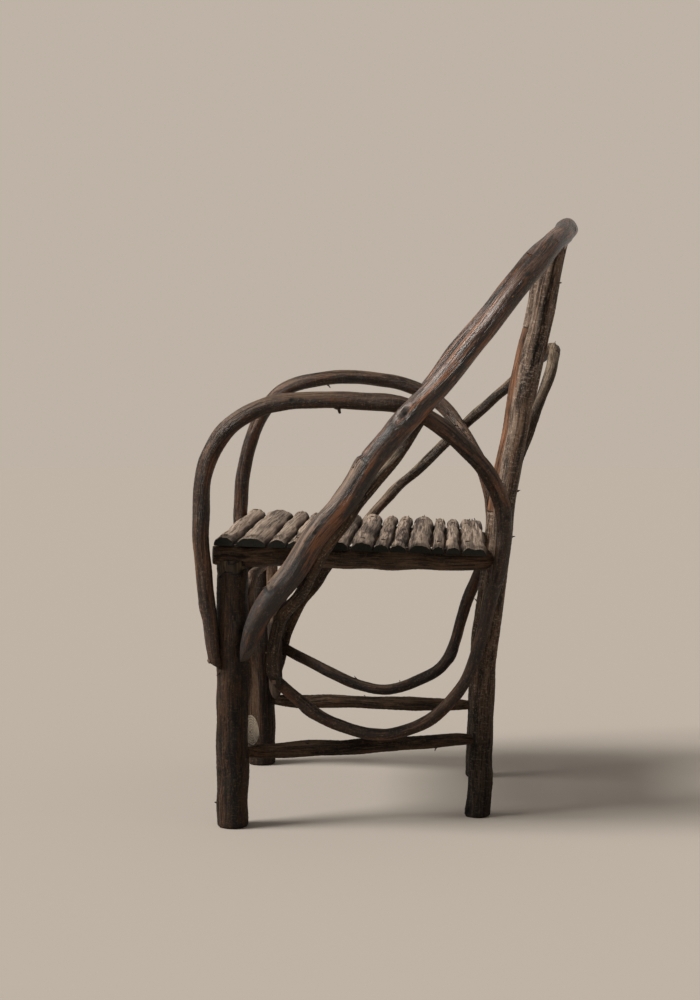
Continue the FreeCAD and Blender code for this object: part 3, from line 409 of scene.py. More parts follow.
# Strut: (slats' reach, seat's run, arm's height, thickness)
STRUT_TOP_SHARES = (0.715, 0.9)
STRUT_SHARES = [
    (0.915, 0.65, 0.9, 0.95), (0.985, 0.525, 0.8, 1.0), (1.035, 0.455, 0.745, 1.0), (1.04, 0.405, 0.7, 1.0),
    (1.04, 0.32, 0.62, 1.0), (1.0, 0.26, 0.55, 1.05), (0.975, 0.205, 0.51, 1.05), (0.95, 0.16, 0.445, 1.0),
]


def bow_strut():
    girth = SIZE["strut_diameter"]
    hoop = hoops["left"]
    top_back, top_thick = STRUT_TOP_SHARES

    def spot(out, back, up):
        return place(slat_end_out * out, SIZE["seat_run"] * back, SIZE["arm_height"] * up)

    arm = hoop.line.crossing(BACKWARD, SIZE["seat_run"] * top_back - SIZE["front_line"])
    top = arm - OUTWARD * (hoop_radius + strut_radius * top_thick - SIZE["notch"])
    foot = hoop.line.points[-1] + OUTWARD * (hoop.radii[-1] + strut_radius - SIZE["notch"])
    rows = [(top, girth * top_thick)] + stations(STRUT_SHARES, girth, spot) + [(foot, girth)]
    return Sapling(rows, OUTWARD)


# Front arch: half of it by (way out, way up from its foot, thickness)
ARCH_SHARES = [
    (1.0, 0.0, 1.0), (1.0, 0.33, 1.0), (1.0, 0.66, 0.9), (0.99, 0.84, 0.78), (0.93, 0.955, 0.7),
    (0.78, 0.995, 0.68), (0.45, 1.0, 0.66),
]
ARCH_FOOT_TURN = -36
ARCH_BEVEL_SHARE = 2.1
ARCH_RAIL_GAP = 0.0003


def front_arch():
    low, high = SIZE["arch_foot_height"], SIZE["arch_height"]
    girth = SIZE["arch_diameter"]
    foot_out, foot_back, _ = beside_leg(LEFT, girth, ARCH_FOOT_TURN, low)[0]
    foot_back += SIZE["front_line"]
    rail_back = (SIZE["front_rail_diameter"] + girth * ARCH_SHARES[-1][2]) / 2 + ARCH_RAIL_GAP

    def half(side, rows):
        def spot(out, up):
            return place(side * foot_out * out, blend(foot_back, rail_back, up), blend(low, high, up))

        return stations(rows, girth, spot)

    return Sapling(half(LEFT, ARCH_SHARES) + half(RIGHT, ARCH_SHARES[::-1]), BACKWARD)


bow = back_bow()
posts = {name: rear_post(side) for name, side in SIDES.items()}
inner = inner_back_hoop()
hoops = {"left": Sapling(arm_hoop(LEFT, LEFT_HOOP_SHARES), OUTWARD), "right": right_hoop()}
strut = bow_strut()
arch = front_arch()


def rail_out(back):
    return blend(leg_out, post_out, back / SIZE["seat_run"])


def rail_height(back):
    return flat_seat(back) - SIZE["side_rail_diameter"] / 2 + SIZE["side_rail_flat"]


def leg_member(name, height):
    return place(SIDES[name] * leg_out, 0, height), leg_thickness(height)


def post_member(name, height):
    line = posts[name].line
    middle = line.crossing(UPWARD, height)
    return middle, posts[name].radius(line.nearest(middle))


# Straight sticks: thickness by (share of the reach between the members, share of the radius)
SIDE_RAIL_SHARES = [(0.0, 0.82), (0.008, 0.88), (0.07, 0.93), (0.3, 1.0), (0.65, 1.0), (0.97, 0.97),
                    (1.0, 0.93)]
CROSS_RAIL_SHARES = [(0.0, 0.72), (0.04, 0.94), (0.3, 1.0), (0.55, 0.96), (0.96, 0.92), (1.0, 0.72)]
STRETCHER_SHARES = {
    "left": [(0.0, 0.68), (0.045, 0.98), (0.2, 1.02), (0.42, 0.92), (0.5, 1.04), (0.6, 0.93), (0.8, 0.9),
             (0.955, 0.84), (1.0, 0.68)],
    "right": [(0.0, 0.68), (0.045, 0.9), (0.25, 0.98), (0.5, 0.9), (0.62, 1.0), (0.8, 0.93), (0.955, 0.86),
              (1.0, 0.68)],
}
SPINDLE_SHARES = [(0.0, 0.76), (0.09, 0.95), (0.4, 1.0), (0.75, 0.92), (1.0, 0.85)]


def straight_stick(start, end, diameter, tenon_diameter, shares):
    """A stick between the surfaces of two members, each (middle, radius), with its tenons in them."""
    heading = unit(end[0] - start[0])
    first = start[0] + heading * start[1]
    last = end[0] - heading * end[1]
    tenons = start[0] + heading * start[1] / 2, end[0] - heading * end[1] / 2
    rows = stations(shares, diameter, lambda along: blend(first, last, along))
    return Sapling([(tenons[0], tenon_diameter)] + rows + [(tenons[1], tenon_diameter)], UPWARD)


def side_rail(name):
    nose_back = -SIZE["side_rail_nose"]
    start = place(SIDES[name] * rail_out(nose_back), nose_back, rail_height(nose_back))
    end, post_thickness = post_member(name, rail_height(SIZE["seat_run"]))
    last = end - unit(end - start) * post_thickness
    rows = stations(SIDE_RAIL_SHARES, SIZE["side_rail_diameter"], lambda along: blend(start, last, along))
    return Sapling(rows + [(end, SIZE["rail_tenon_diameter"])], UPWARD)


def front_leg(side):
    foot = place(side * leg_out, 0, 0)
    top = place(side * leg_out, 0, SIZE["leg_height"])
    return Sapling([(foot, SIZE["leg_foot_diameter"]), (top, SIZE["leg_top_diameter"])], BACKWARD)


def middle_spindle():
    height = SIZE["rear_rail_height"]
    foot = (post_member("left", height)[0] + post_member("right", height)[0]) / 2
    top = bow.line.crossing(OUTWARD, 0)
    rows = stations(SPINDLE_SHARES, SIZE["spindle_diameter"], lambda along: blend(foot, top, along))
    return Sapling(rows, OUTWARD)


# Meshes: rings of points joined into a skin, and closed by caps

SHARP_ANGLE = math.radians(38)
# Each end is closed by rings of these shares of its radius.
CAP_SHARES = (0.985, 0.75, 0.4)
# Each piece lies this far or less along the grain of its own log.
GRAIN_OFFSET = 9.0


def skin(name, rings, coordinates, marks, cap_cut=(1, 1)):
    """A mesh through the rings, each a closed loop of points, closed by a fan at each end.

    Each point carries what the wood's material reads: its place in the log, and marks such as peel.
    """
    count, sides = rings.shape[:2]
    points = np.concatenate([rings.reshape(-1, 3), [rings[0].mean(0), rings[-1].mean(0)]])
    here = np.arange(count * sides).reshape(count, sides)
    onward = np.roll(here, -1, axis=1)
    quads = np.stack([here[:-1], onward[:-1], onward[1:], here[1:]], axis=-1).reshape(-1, 4)
    first = np.stack([onward[0], here[0], np.full(sides, count * sides)], axis=-1)
    last = np.stack([here[-1], onward[-1], np.full(sides, count * sides + 1)], axis=-1)
    mesh = bpy.data.meshes.new(name)
    mesh.from_pydata(points.tolist(), [], quads.tolist() + first.tolist() + last.tolist())
    carried = {title: (marks.get(title, np.zeros((count, sides))), caps)
               for title, caps in (("peel", (0, 0)), ("scar", (0, 0)), ("cut", cap_cut))}
    carried["log"] = coordinates, (coordinates[0].mean(0), coordinates[-1].mean(0))
    for title, (ring_values, cap_values) in carried.items():
        kind, key = ("FLOAT_VECTOR", "vector") if title == "log" else ("FLOAT", "value")
        flat = np.concatenate([ring_values.reshape(count * sides, -1), np.reshape(cap_values, (2, -1))])
        mesh.attributes.new(title, kind, "POINT").data.foreach_set(key, flat.astype(np.float32).ravel())
    mesh.shade_smooth()
    mesh.set_sharp_from_angle(angle=SHARP_ANGLE)
    piece = bpy.data.objects.new(name, mesh)
    bpy.context.scene.collection.objects.link(piece)
    return piece


def join(pieces):
    """One object of several meshes, under the name of the first."""
    if len(pieces) > 1:
        with bpy.context.temp_override(active_object=pieces[0], selected_editable_objects=pieces,
                                       selected_objects=pieces, object=pieces[0]):
            bpy.ops.object.join()
    return pieces[0]


def capped(rings, coordinates, marks):
    """The rings with a few more drawn in at each end, which are marked as cut wood."""
    def drawn_in(rim):
        middle = rim.mean(0)
        return np.array([middle + (rim - middle) * share for share in CAP_SHARES])

    def closed(stack):
        return np.concatenate([drawn_in(stack[0])[::-1], stack, drawn_in(stack[-1])])

    blank = np.zeros((len(CAP_SHARES), rings.shape[1]))
    ends = {name: np.concatenate([blank, mark, blank]) for name, mark in marks.items()}
    ends["cut"] = np.concatenate([blank + 1, np.zeros(rings.shape[:2]), blank + 1])
    return closed(rings), closed(coordinates), ends


def grain_offset(seed):
    return np.random.default_rng(seed).uniform(-GRAIN_OFFSET, GRAIN_OFFSET)


def frame_across(headings, side):
    """Two directions square to each heading: one towards the side, and one a quarter turn on."""
    first = unit(side - headings * (headings @ side)[..., None])
    return first, np.cross(headings, first)


def spokes(turn, first, second):
    """The directions at each turn from the first of two square ones towards the second."""
    return np.cos(turn)[..., None] * first + np.sin(turn)[..., None] * second


def turned_from(normals, toward, headings):
    """The angle between each outward direction and a wanted one, seen along the stick."""
    wanted = unit(unit(toward) - headings * (headings @ unit(toward))[..., None])
    return np.arccos(np.clip(np.sum(normals * wanted, axis=-1), -1, 1))


# Seeded waves: their lengths along the wood, how often each goes round it, how many, and their height
RIDGES = ((0.03, 0.16), (5, 13), 18, 0.00022)
CREASES = ((0.004, 0.012), (1, 7), 14, 0.00012)
LUMPS = ((0.05, 0.3), (1, 4), 9, 0.0007)
BARK_RELIEF = (RIDGES, CREASES, LUMPS)
RAGGED_EDGE = ((0.012, 0.05), (1, 5), 8, 1)
WANDER = ((0.06, 0.3), (0, 0), 5, 0.0009)
SLAT_GROOVES = ((0.1, 0.4), (3, 9), 12, 0.0005)
SLAT_WRINKLES = ((0.03, 0.09), (1, 6), 10, 0.00015)
SLAT_SWELLS = ((0.1, 0.4), (0, 0), 4, 0.0005)
SLAT_WANDER = ((0.12, 0.5), (0, 0), 4, 0.0012)
SLAT_WAISTS = ((0.05, 0.25), (0, 0), 4, 1)


def waves(along, turn, seed, lengths, counts, terms, height):
    """A seeded sum of waves of about that height that closes round the stick."""
    chance = np.random.default_rng(seed)
    total = np.zeros(np.broadcast(along, turn).shape)
    for _ in range(terms):
        reach = chance.uniform(*lengths)
        count = chance.integers(counts[0], counts[1] + 1) * chance.choice((-1, 1))
        total += np.sin(FULL_TURN * (along / reach + chance.uniform()) + count * turn)
    return total / math.sqrt(terms) * height


# What a stick can have: ends, knots, strips and spurs

class End(NamedTuple):
    """How a stick ends: a cut plane, or none for a square cut, and how round its rim is worn."""
    normal: tuple = None
    offset: float = 0.0
    wear: float = 0.0012


class Knot(NamedTuple):
    """A swelling with a scar in it, at a point beside the stick and on the side that it faces."""
    point: tuple
    toward: tuple
    height: float
    width: float
    scar: float = 0.5


class Strip(NamedTuple):
    """A strip of other bark, or a crack, between two points on the side that it faces.

    Its spread is half the angle that it takes up, in degrees. Its mark is "peel" or, for a crack, "scar".
    """
    start: tuple
    end: tuple
    toward: tuple
    spread: float
    rise: float = 0.0005
    edge: float = 0.02
    ragged: float = 0.05
    mark: str = "peel"


class Spur(NamedTuple):
    """A broken twig: a small tapered stub that grows out of the stick's nearest place and leans along."""
    point: tuple
    toward: tuple
    reach: float
    girth: float
    lean: float = 0.4


# A spur's rings, by shares of its reach and of its radius, and how uneven they are by shares of its girth
SPUR_RINGS = [(-0.6, 1.7), (-0.15, 1.5), (0.15, 1.05), (0.4, 0.85), (0.7, 0.7), (0.95, 0.6), (1.0, 0.3)]
SPUR_SIDES = 8
SPUR_DENTS = 0.16
SPUR_CROOK = 0.12
SPUR_SLANT = 0.35
SPUR_SLANT_TURN = 1


def spur_mesh(name, spur, stick, seed):
    """A stub whose root lies in the wood and whose tip is broken off at a slant."""
    spot = stick.line.nearest(spur.point)
    heading = stick.line.heading(spot)
    outward = unit(unit(spur.toward) - heading * (heading @ unit(spur.toward)))
    root = stick.line.at(spot) + outward * stick.radius(spot)
    growing = unit(outward + heading * spur.lean)
    chance = np.random.default_rng(seed)
    first = unit(np.cross(growing, unit(chance.normal(size=3))))
    second = np.cross(growing, first)
    turns = np.arange(SPUR_SIDES) * FULL_TURN / SPUR_SIDES
    rings = []
    for reach, thick in SPUR_RINGS:
        radius = spur.girth / 2 * thick * (1 + SPUR_DENTS * chance.normal(size=SPUR_SIDES))
        crook = chance.normal(size=3) * spur.girth * SPUR_CROOK * max(reach, 0)
        middle = root + growing * spur.reach * reach + crook
        slant = growing * (spur.girth * SPUR_SLANT * reach * np.cos(turns + SPUR_SLANT_TURN))[:, None]
        rings.append(middle + radius[:, None] * spokes(turns, first, second) + slant)
    coordinates = np.broadcast_arrays(np.linspace(0, spur.reach, len(rings))[:, None],
                                      np.cos(turns) * spur.girth, np.sin(turns) * spur.girth)
    return skin(name, np.array(rings), np.stack(coordinates, axis=-1), {}, (0, 1))


# Loose fibres, bud stubs and small knots, strewn about one in each spacing, within ranges of size
HAIR_SPACING = 0.22
HAIR_SPAN = (0.05, 0.95)
HAIR_REACH = (0.0025, 0.006)
HAIR_GIRTH = (0.0012, 0.0026)
HAIR_LEAN = (-1.5, 1.5)
KNOT_SPACING = 0.11
KNOT_SPAN = (0.04, 0.96)
KNOT_HEIGHT = (0.0008, 0.0022)
KNOT_WIDTH = (0.005, 0.01)
KNOT_SCAR = (0.2, 1.1)


def grown_hairs(stick, seed):
    chance = np.random.default_rng(seed)
    hairs = []
    for _ in range(round(stick.line.length / HAIR_SPACING)):
        point = stick.line.at(chance.uniform(*HAIR_SPAN) * stick.line.length)
        hairs.append(Spur(point, chance.normal(size=3), chance.uniform(*HAIR_REACH),
                          chance.uniform(*HAIR_GIRTH), chance.uniform(*HAIR_LEAN)))
    return hairs


def grown_knots(stick, seed, spacing):
    chance = np.random.default_rng(seed)
    knots = []
    for _ in range(round(stick.line.length / spacing)):
        spot = chance.uniform(*KNOT_SPAN) * stick.line.length
        toward = spokes(chance.uniform(0, FULL_TURN), *frame_across(stick.line.heading(spot), stick.side))
        size = stick.radius(spot) / hoop_radius
        knots.append(Knot(stick.line.at(spot), toward, chance.uniform(*KNOT_HEIGHT) * size,
                          chance.uniform(*KNOT_WIDTH) * size, chance.uniform(*KNOT_SCAR)))
    return knots


# How many rings the bends in a stick's thickness are smoothed over
RADIUS_SMOOTHING = 11
# A slanted end draws in at most this share of the stick, this many times the slant and this much more.
SLANT_LIMITS = (0.45, 3, 0.01)
# Knots: how long they are for their width, and how wide and dark the hollow in them is
KNOT_STRETCH = 1.6
HOLLOW_SHARE = 0.42
SCAR_DARKNESS = 1.2
# Strips: the angle that their rim takes up, and the groove along it
STRIP_RIM = 0.14
STRIP_GROOVE = 0.0019
STRIP_GROOVE_SHARES = (0.4, 0.6, 0.3)
# Ends: how near to them the stick's wander fades out, and how much of the wear goes inward
WANDER_FADE = 0.03
WEAR_SHARE = 0.8


def slant(stick, end, last, rim, turn, reach):
    """How far each point of the stick moves along it for the cut plane at its first or last end."""
    line = stick.line
    heading = line.heading(line.length if last else 0.0)
    onward = 1 if last else -1
    normal = unit(end.normal)
    spread = rim[:, None] * spokes(turn, *frame_across(heading, stick.side))
    shift = (end.offset - spread @ normal) / (heading * onward @ normal)
    longest, times, least = SLANT_LIMITS
    span = min(longest * line.length, times * np.abs(shift).max() + least)
    from_end = line.length - reach if last else reach
    return shift * np.clip(1 - from_end / span, 0, 1) * onward


def stick_skin(name, stick, seed, ends=(End(), End()), knots=(), strips=(), spurs=(), rough=1.0,
               knot_spacing=KNOT_SPACING):
    """The skin of a stick with its lumps, ridges, knots and cut ends.

    The numbers after its seed are the seeds of its own waves, knots, hairs and stubs.
    """
    line = stick.line
    along = line.walk()
    turn = np.arange(RING_SIDES) * FULL_TURN / RING_SIDES
    reach, around = np.meshgrid(along, turn, indexing="ij")
    kernel = np.hanning(RADIUS_SMOOTHING)[1:-1]
    padded = np.pad(stick.radius(along), len(kernel) // 2, mode="edge")
    radius = np.convolve(padded, kernel / kernel.sum(), mode="valid")[:, None] * np.ones(RING_SIDES)
    for last, end in enumerate(ends):
        if end.normal is not None:
            reach = reach + slant(stick, end, last, radius[-last], turn, reach)

    headings = line.heading(reach)
    first, second = frame_across(headings, stick.side)
    normals = spokes(around, first, second)
    relief = sum(waves(reach, around, seed + 1 + step, *kind) for step, kind in enumerate(BARK_RELIEF))
    height = relief * rough * np.sqrt(radius / hoop_radius)
    marks = {"peel": np.zeros_like(height), "scar": np.zeros_like(height)}
    for knot in list(knots) + grown_knots(stick, seed + 4, knot_spacing):
        apart = np.hypot((reach - line.nearest(knot.point)) / KNOT_STRETCH,
                         turned_from(normals, knot.toward, headings) * radius)
        hollow = np.exp(-(apart / (knot.width * HOLLOW_SHARE)) ** 2)
        height += knot.height * (np.exp(-(apart / knot.width) ** 2) - knot.scar * hollow)
        marks["scar"] = np.maximum(marks["scar"], hollow * min(1, knot.scar * SCAR_DARKNESS))
    for strip in strips:
        low, high = sorted((line.nearest(strip.start), line.nearest(strip.end)))
        ragged = waves(reach, around, seed + 5, *RAGGED_EDGE) * strip.ragged
        sideways = turned_from(normals, strip.toward, headings)
        share = window(sideways + ragged, -1, math.radians(strip.spread), STRIP_RIM)
        share = share * window(reach + ragged * stick.radius(low), low, high, strip.edge)
        height += strip.rise * share - STRIP_GROOVE * window(share, *STRIP_GROOVE_SHARES)
        marks[strip.mark] = np.maximum(marks[strip.mark], share)

    radius = radius + height
    from_ends = along[:, None], line.length - along[:, None]
    for from_end, end in zip(from_ends, ends):
        radius = radius - np.clip(1 - from_end / end.wear, 0, 1) ** 2 * end.wear * WEAR_SHARE
    sideways, upward = (waves(reach[:, :1], 0.0, seed + 7 + axis, *WANDER)[..., None] for axis in range(2))
    fade = np.clip(np.minimum(*from_ends) / WANDER_FADE, 0, 1)[..., None]
    rings = line.at(reach) + (first * sideways + second * upward) * fade + radius[..., None] * normals
    coordinates = [reach + grain_offset(seed + 11), radius * np.cos(around), radius * np.sin(around)]
    main = skin(name, *capped(rings, np.stack(coordinates, axis=-1), marks))
    return join([main] + [spur_mesh("%s_stub_%d" % (name, count), spur, stick, seed + 20 + count)
                          for count, spur in enumerate(list(spurs) + grown_hairs(stick, seed + 6))])


# Slats: half-round poles. Widths are shares of the field, crests shares of the thickness, reaches
# shares of half the slats' length.
SLAT_WIDTH_SHARES = [0.08, 0.12, 0.07, 0.065, 0.08, 0.08, 0.09, 0.06, 0.06, 0.09, 0.05, 0.055, 0.1]
SLAT_CREST_SHARES = [(1.0,), (1.0,), (0.94,), (0.88,), (0.93,), (0.95,), (1.0,), (0.86,), (0.86,),
                     (0.98,), (0.82,), (0.84,), (0.88, 0.8)]
SLAT_REACH_SHARES = [1.0, 1.0, 0.995, 1.0, 0.99, 1.0, 0.98, 0.98, 0.975, 0.955, 0.95, 0.955, 0.965]
SLAT_SEED = 500
SLAT_SEED_STEP = 13
SLAT_TOP_POINTS = 21
# How deep the valley is between a forked slat's two crests
SLAT_VALLEY_SHARE = 0.66
# Powers that shape a slat's rounded top, the two crests of a forked one, and how steep its shoulders are
SLAT_ROUNDNESS = 1.15
FORK_ROUNDNESS = 0.6
SHOULDER_ROUNDNESS = 0.7
SHOULDER_SLOPE = 8
UNDERSIDE_SHARES = (1.0, 0.66, 0.33, 0.0)
SLAT_WAIST_SHARE = 0.09
SLAT_EDGE_SHARE = 0.9
SLAT_END_LENGTH = 0.004
SLAT_END_DROP = 0.0016
# Slats whose far end is frayed, and how many fibres stand up there, within these ranges
SLAT_TUFTS = {8: 1, 9: 2, 10: 1, 12: 3}
TUFT_SEED = 900
FIBRE_SEED = 950
FIBRE_SEED_STEP = 10
FIBRE_PLACE = (0.25, 0.75)
FIBRE_INSET = (0.004, 0.02)
FIBRE_TILT = (-0.4, 0.4)
FIBRE_REACH = (0.003, 0.007)
FIBRE_GIRTH = (0.002, 0.0035)
FIBRE_LEAN = (-1.2, -0.3)
FIBRE_ROOT_SHARE = 1.6


def slat_outline(width, crests):
    """The section of a slat: its rounded top from front to back, then its flat underside."""
    edge, thick = SIZE["slat_edge"], SIZE["slat_thickness"]
    across = np.linspace(0, 1, SLAT_TOP_POINTS)
    if len(crests) == 1:
        circle = np.sqrt(np.clip(1 - (2 * across - 1) ** 2, 0, 1))
        top = edge + (crests[0] * thick - edge) * circle ** SLAT_ROUNDNESS
    else:
        swing = np.abs(np.sin(FULL_TURN * across)) ** FORK_ROUNDNESS
        shoulder = np.minimum(1, SHOULDER_SLOPE * np.minimum(across, 1 - across)) ** SHOULDER_ROUNDNESS
        crest = np.where(across < 0.5, crests[0], crests[1]) * thick
        valley = SLAT_VALLEY_SHARE * thick
        top = edge + (valley + (crest - valley) * swing - edge) * shoulder
    upper = np.stack([across * width, top], axis=-1)
    return np.concatenate([upper, [[width * share, 0.0] for share in UNDERSIDE_SHARES]])


def slat(name, index, front_edge):
    """A half-round pole, grooved along, uneven in width and worn round at its ends."""
    width = SIZE["slat_field"] * SLAT_WIDTH_SHARES[index]
    outline = slat_outline(width, SLAT_CREST_SHARES[index])
    half = slat_end_out * SLAT_REACH_SHARES[index]
    seed = SLAT_SEED + SLAT_SEED_STEP * index
    slope = math.atan(SIZE["seat_drop"] / SIZE["seat_run"])
    backward = np.array([0, math.cos(slope), -math.sin(slope)])
    upward = np.array([0, math.sin(slope), math.cos(slope)])
    height_share = outline[:, 1] / SIZE["slat_thickness"]
    along = np.linspace(-half, half, round(2 * half / SLAT_STEP) + 1)
    reach, across = np.meshgrid(along, outline[:, 0] / width, indexing="ij")
    turn = across * math.pi

    def lengthwise(step, kind):
        return waves(reach[:, :1], 0.0, seed + step, *kind)

    lift = waves(reach, turn, seed, *SLAT_GROOVES) + waves(reach, turn, seed + 1, *SLAT_WRINKLES)
    lift = lift + lengthwise(2, SLAT_SWELLS)
    lift = lift * (height_share > SIZE["slat_edge"] / SIZE["slat_thickness"] * SLAT_EDGE_SHARE)
    narrow = 1 - SLAT_WAIST_SHARE * (1 + lengthwise(4, SLAT_WAISTS)) / 2
    worn = np.clip((np.abs(reach) - half) / SLAT_END_LENGTH + 1, 0, 1) ** 2 * SLAT_END_DROP
    y = width / 2 + (outline[:, 0] - width / 2) * narrow + lengthwise(3, SLAT_WANDER)
    z = np.maximum(outline[:, 1] + lift - worn * height_share, 0)
    base = place(0, front_edge, flat_seat(front_edge))
    rings = base + reach[..., None] * OUTWARD + y[..., None] * backward + z[..., None] * upward
    coordinates = np.stack([reach + grain_offset(seed + 5), y - width / 2, z], axis=-1)
    main = skin(name, *capped(rings, coordinates, {}))
    return join([main] + slat_fibres(name, index, front_edge, width, half))


def slat_fibres(name, index, front_edge, width, half):
    """Frayed fibres at a slat's far end, where it has any."""
    chance = np.random.default_rng(TUFT_SEED + index)
    root = FIBRE_ROOT_SHARE * SIZE["slat_thickness"] * SLAT_CREST_SHARES[index][0]
    fibres = []
    for count in range(SLAT_TUFTS.get(index, 0)):
        back = front_edge + width * chance.uniform(*FIBRE_PLACE)
        far, near = (place(out, back, flat_seat(back)) for out in (-half, half))
        edge = Sapling([(far, root), (near, root)], UPWARD)
        point = far + OUTWARD * chance.uniform(*FIBRE_INSET)
        toward = UPWARD + BACKWARD * chance.uniform(*FIBRE_TILT)
        fibre = Spur(point, toward, chance.uniform(*FIBRE_REACH), chance.uniform(*FIBRE_GIRTH),
                     chance.uniform(*FIBRE_LEAN))
        seed = FIBRE_SEED + FIBRE_SEED_STEP * index + count
        fibres.append(spur_mesh("%s_fibre_%d" % (name, count), fibre, edge, seed))
    return fibres


# Materials: weathered woods and nail iron

def seen_colour(red, green, blue):
    """A colour by how it looks on a screen, from 0 to 255."""
    def linear(level):
        level /= 255
        return level / 12.92 if level <= 0.04045 else ((level + 0.055) / 1.055) ** 2.4
    return (linear(red), linear(green), linear(blue), 1)


class Shader:
    """The nodes of a material or a world, with short calls for what the woods share."""

    def __init__(self, owner):
        owner.use_nodes = True
        self.owner = owner
        self.tree = owner.node_tree

    def feed(self, inputs, sources):
        """Give inputs their sources, each another node's output or a plain value."""
        for key, source in sources.items():
            if isinstance(source, (int, float, tuple)):
                inputs[key].default_value = source
            else:
                self.tree.links.new(source, inputs[key])

    def surface(self, sources, kind="Principled BSDF"):
        self.feed(self.tree.nodes[kind].inputs, sources)
        return self.owner

    def node(self, kind, sources=(), output=0, **settings):
        made = self.tree.nodes.new(kind)
        for key, setting in settings.items():
            setattr(made, key, setting)
        self.feed(made.inputs, dict(sources))
        return made.outputs[output]

    def attribute(self, name, output="Fac"):
        return self.node("ShaderNodeAttribute", output=output, attribute_name=name)

    def noise(self, vector, scale, detail, roughness, distortion):
        return self.node("ShaderNodeTexNoise", {"Vector": vector, "Scale": scale, "Detail": detail,
                                                "Roughness": roughness, "Distortion": distortion}, "Fac")

    def grain(self, log, along, *noise):
        """Noise in the log's own frame, stretched along it."""
        return self.noise(self.node("ShaderNodeMapping", {"Vector": log, "Scale": (along, 1, 1)}), *noise)

    def ramp(self, value, low, high, start=0.0, end=1.0):
        """A smooth passage from one value to another."""
        sources = {"Value": value, "From Min": low, "From Max": high, "To Min": start, "To Max": end}
        return self.node("ShaderNodeMapRange", sources, "Result", interpolation_type="SMOOTHSTEP")

    def calculate(self, operation, *sources):
        return self.node("ShaderNodeMath", enumerate(sources), operation=operation)

    def times(self, first, second):
        return self.calculate("MULTIPLY", first, second)

    def plus(self, first, second):
        return self.calculate("ADD", first, second)

    def off(self, value, middle):
        """How far a value is from a middle one."""
        return self.calculate("ABSOLUTE", self.calculate("SUBTRACT", value, middle))

    def mix(self, share, first, second):
        return self.node("ShaderNodeMix", {0: share, 6: first, 7: second}, 2, data_type="RGBA")

    def axis(self, vector, name):
        return self.node("ShaderNodeSeparateXYZ", {0: vector}, name)

    def year_rings(self, log, wobble):
        """The share of pale wood at each place of a sawn end, ring by ring."""
        second, third = (self.axis(log, name) for name in "YZ")
        radius = self.calculate("SQRT", self.plus(self.times(second, second), self.times(third, third)))
        radius = self.plus(radius, self.times(wobble, YEAR_RING))
        return self.ramp(self.calculate("SINE", self.times(radius, FULL_TURN / YEAR_RING)), *RAMPS["year"])

    def bump(self, height, strength, distance):
        sources = {"Strength": strength, "Distance": distance, "Height": height}
        return self.node("ShaderNodeBump", sources, "Normal")


# The grain's noises: stretch along the log, scale, detail, roughness and distortion
FIBRE = (0.045, 650, 4.0, 0.65, 0.2)
MOTTLE = (0.2, 62, 9.0, 0.7, 0.4)
STREAK = (0.08, 105, 6.0, 0.62, 0.4)
PATCH = (0.45, 21, 4.0, 0.6, 0.0)
SEAM = (0.03, 190, 5.0, 0.55, 0.5)
FLECK = (0.5, 420, 3.0, 0.7, 0.3)
RING = (4.0, 120, 5.0, 0.7, 0.6)
# The noise that tints each piece, which isn't stretched
TINT = (0.9, 0.0, 0.55, 0.0)
# Where each trait of the wood sets in and is full, and its values there if they aren't 0 and 1
RAMPS = {
    "year": (-0.9, 0.6),
    "tint": (0.3, 0.7, 0.84, 1.14),
    "crack seam": (0.005, 0.03, 1.0, 0.0),
    "crack patch": (0.38, 0.54),
    "tone": (0.42, 0.6),
    "warm streak": (0.48, 0.55),
    "warm patch": (0.43, 0.57),
    "warm fibre": (0.3, 0.6, 0.4, 1.0),
    # Grey bloom and a painted highlight on faces that turn up
    "bloom and highlight side": (-0.15, 0.8),
    "ring": (0.54, 0.64),
    "pale fleck": (0.58, 0.68),
    "dark fleck": (0.3, 0.4, 1.0, 0.0),
    "peel": (0.4, 0.6),
    "peel streak": (0.44, 0.56, 0.55, 0.0),
    "peel rim": (0.15, 0.45, 0.95, 0.0),
    "hollow": (0.25, 0.9, 0.0, 0.85),
    "pit": (0.32, 0.48, 0.7, 0.0),
    "cut": (0.3, 0.7),
}
# Painted shade on faces that turn from up: full where the normal's upward part is below the first value, none
# above the second
PAINTED_SHADE_FLANK_RANGE = (0.1, 0.85)
SHINE_RANGE = (0.38, 0.64)
BLOOM_AND_HIGHLIGHT_RANGE = 0.16
# Shares of one noise that another trait takes in
MOTTLE_IN_TONE = 0.6
PATCH_IN_BLOOM_AND_HIGHLIGHT = 0.4
MOTTLE_IN_RELIEF = 1.8
FLECK_IN_RELIEF = 0.6
CRACK_IN_RELIEF = 1.2
# How much of its light a colour keeps in a shaded trait
SHADES = {"fleck": 0.6, "painted_shade_flank": 0.6, "peel": 0.5, "rim": 0.5, "crack": 0.3, "hollow": 0.4, "year": 0.55,
          "pit": 0.25}
# The width of a year ring
YEAR_RING = 0.0018
CUT_ROUGHNESS = 0.9
# Roughness added towards the floor, where the wood is also darker
FLOORWARD_ROUGHNESS = 1.2
COAT_ROUGHNESS = 0.28
BUMP_DEPTH = 0.0014


def shade_of(colour, trait):
    """A colour with only the share of its light that the trait leaves."""
    return tuple(SHADES[trait] * level for level in colour[:3]) + (1,)


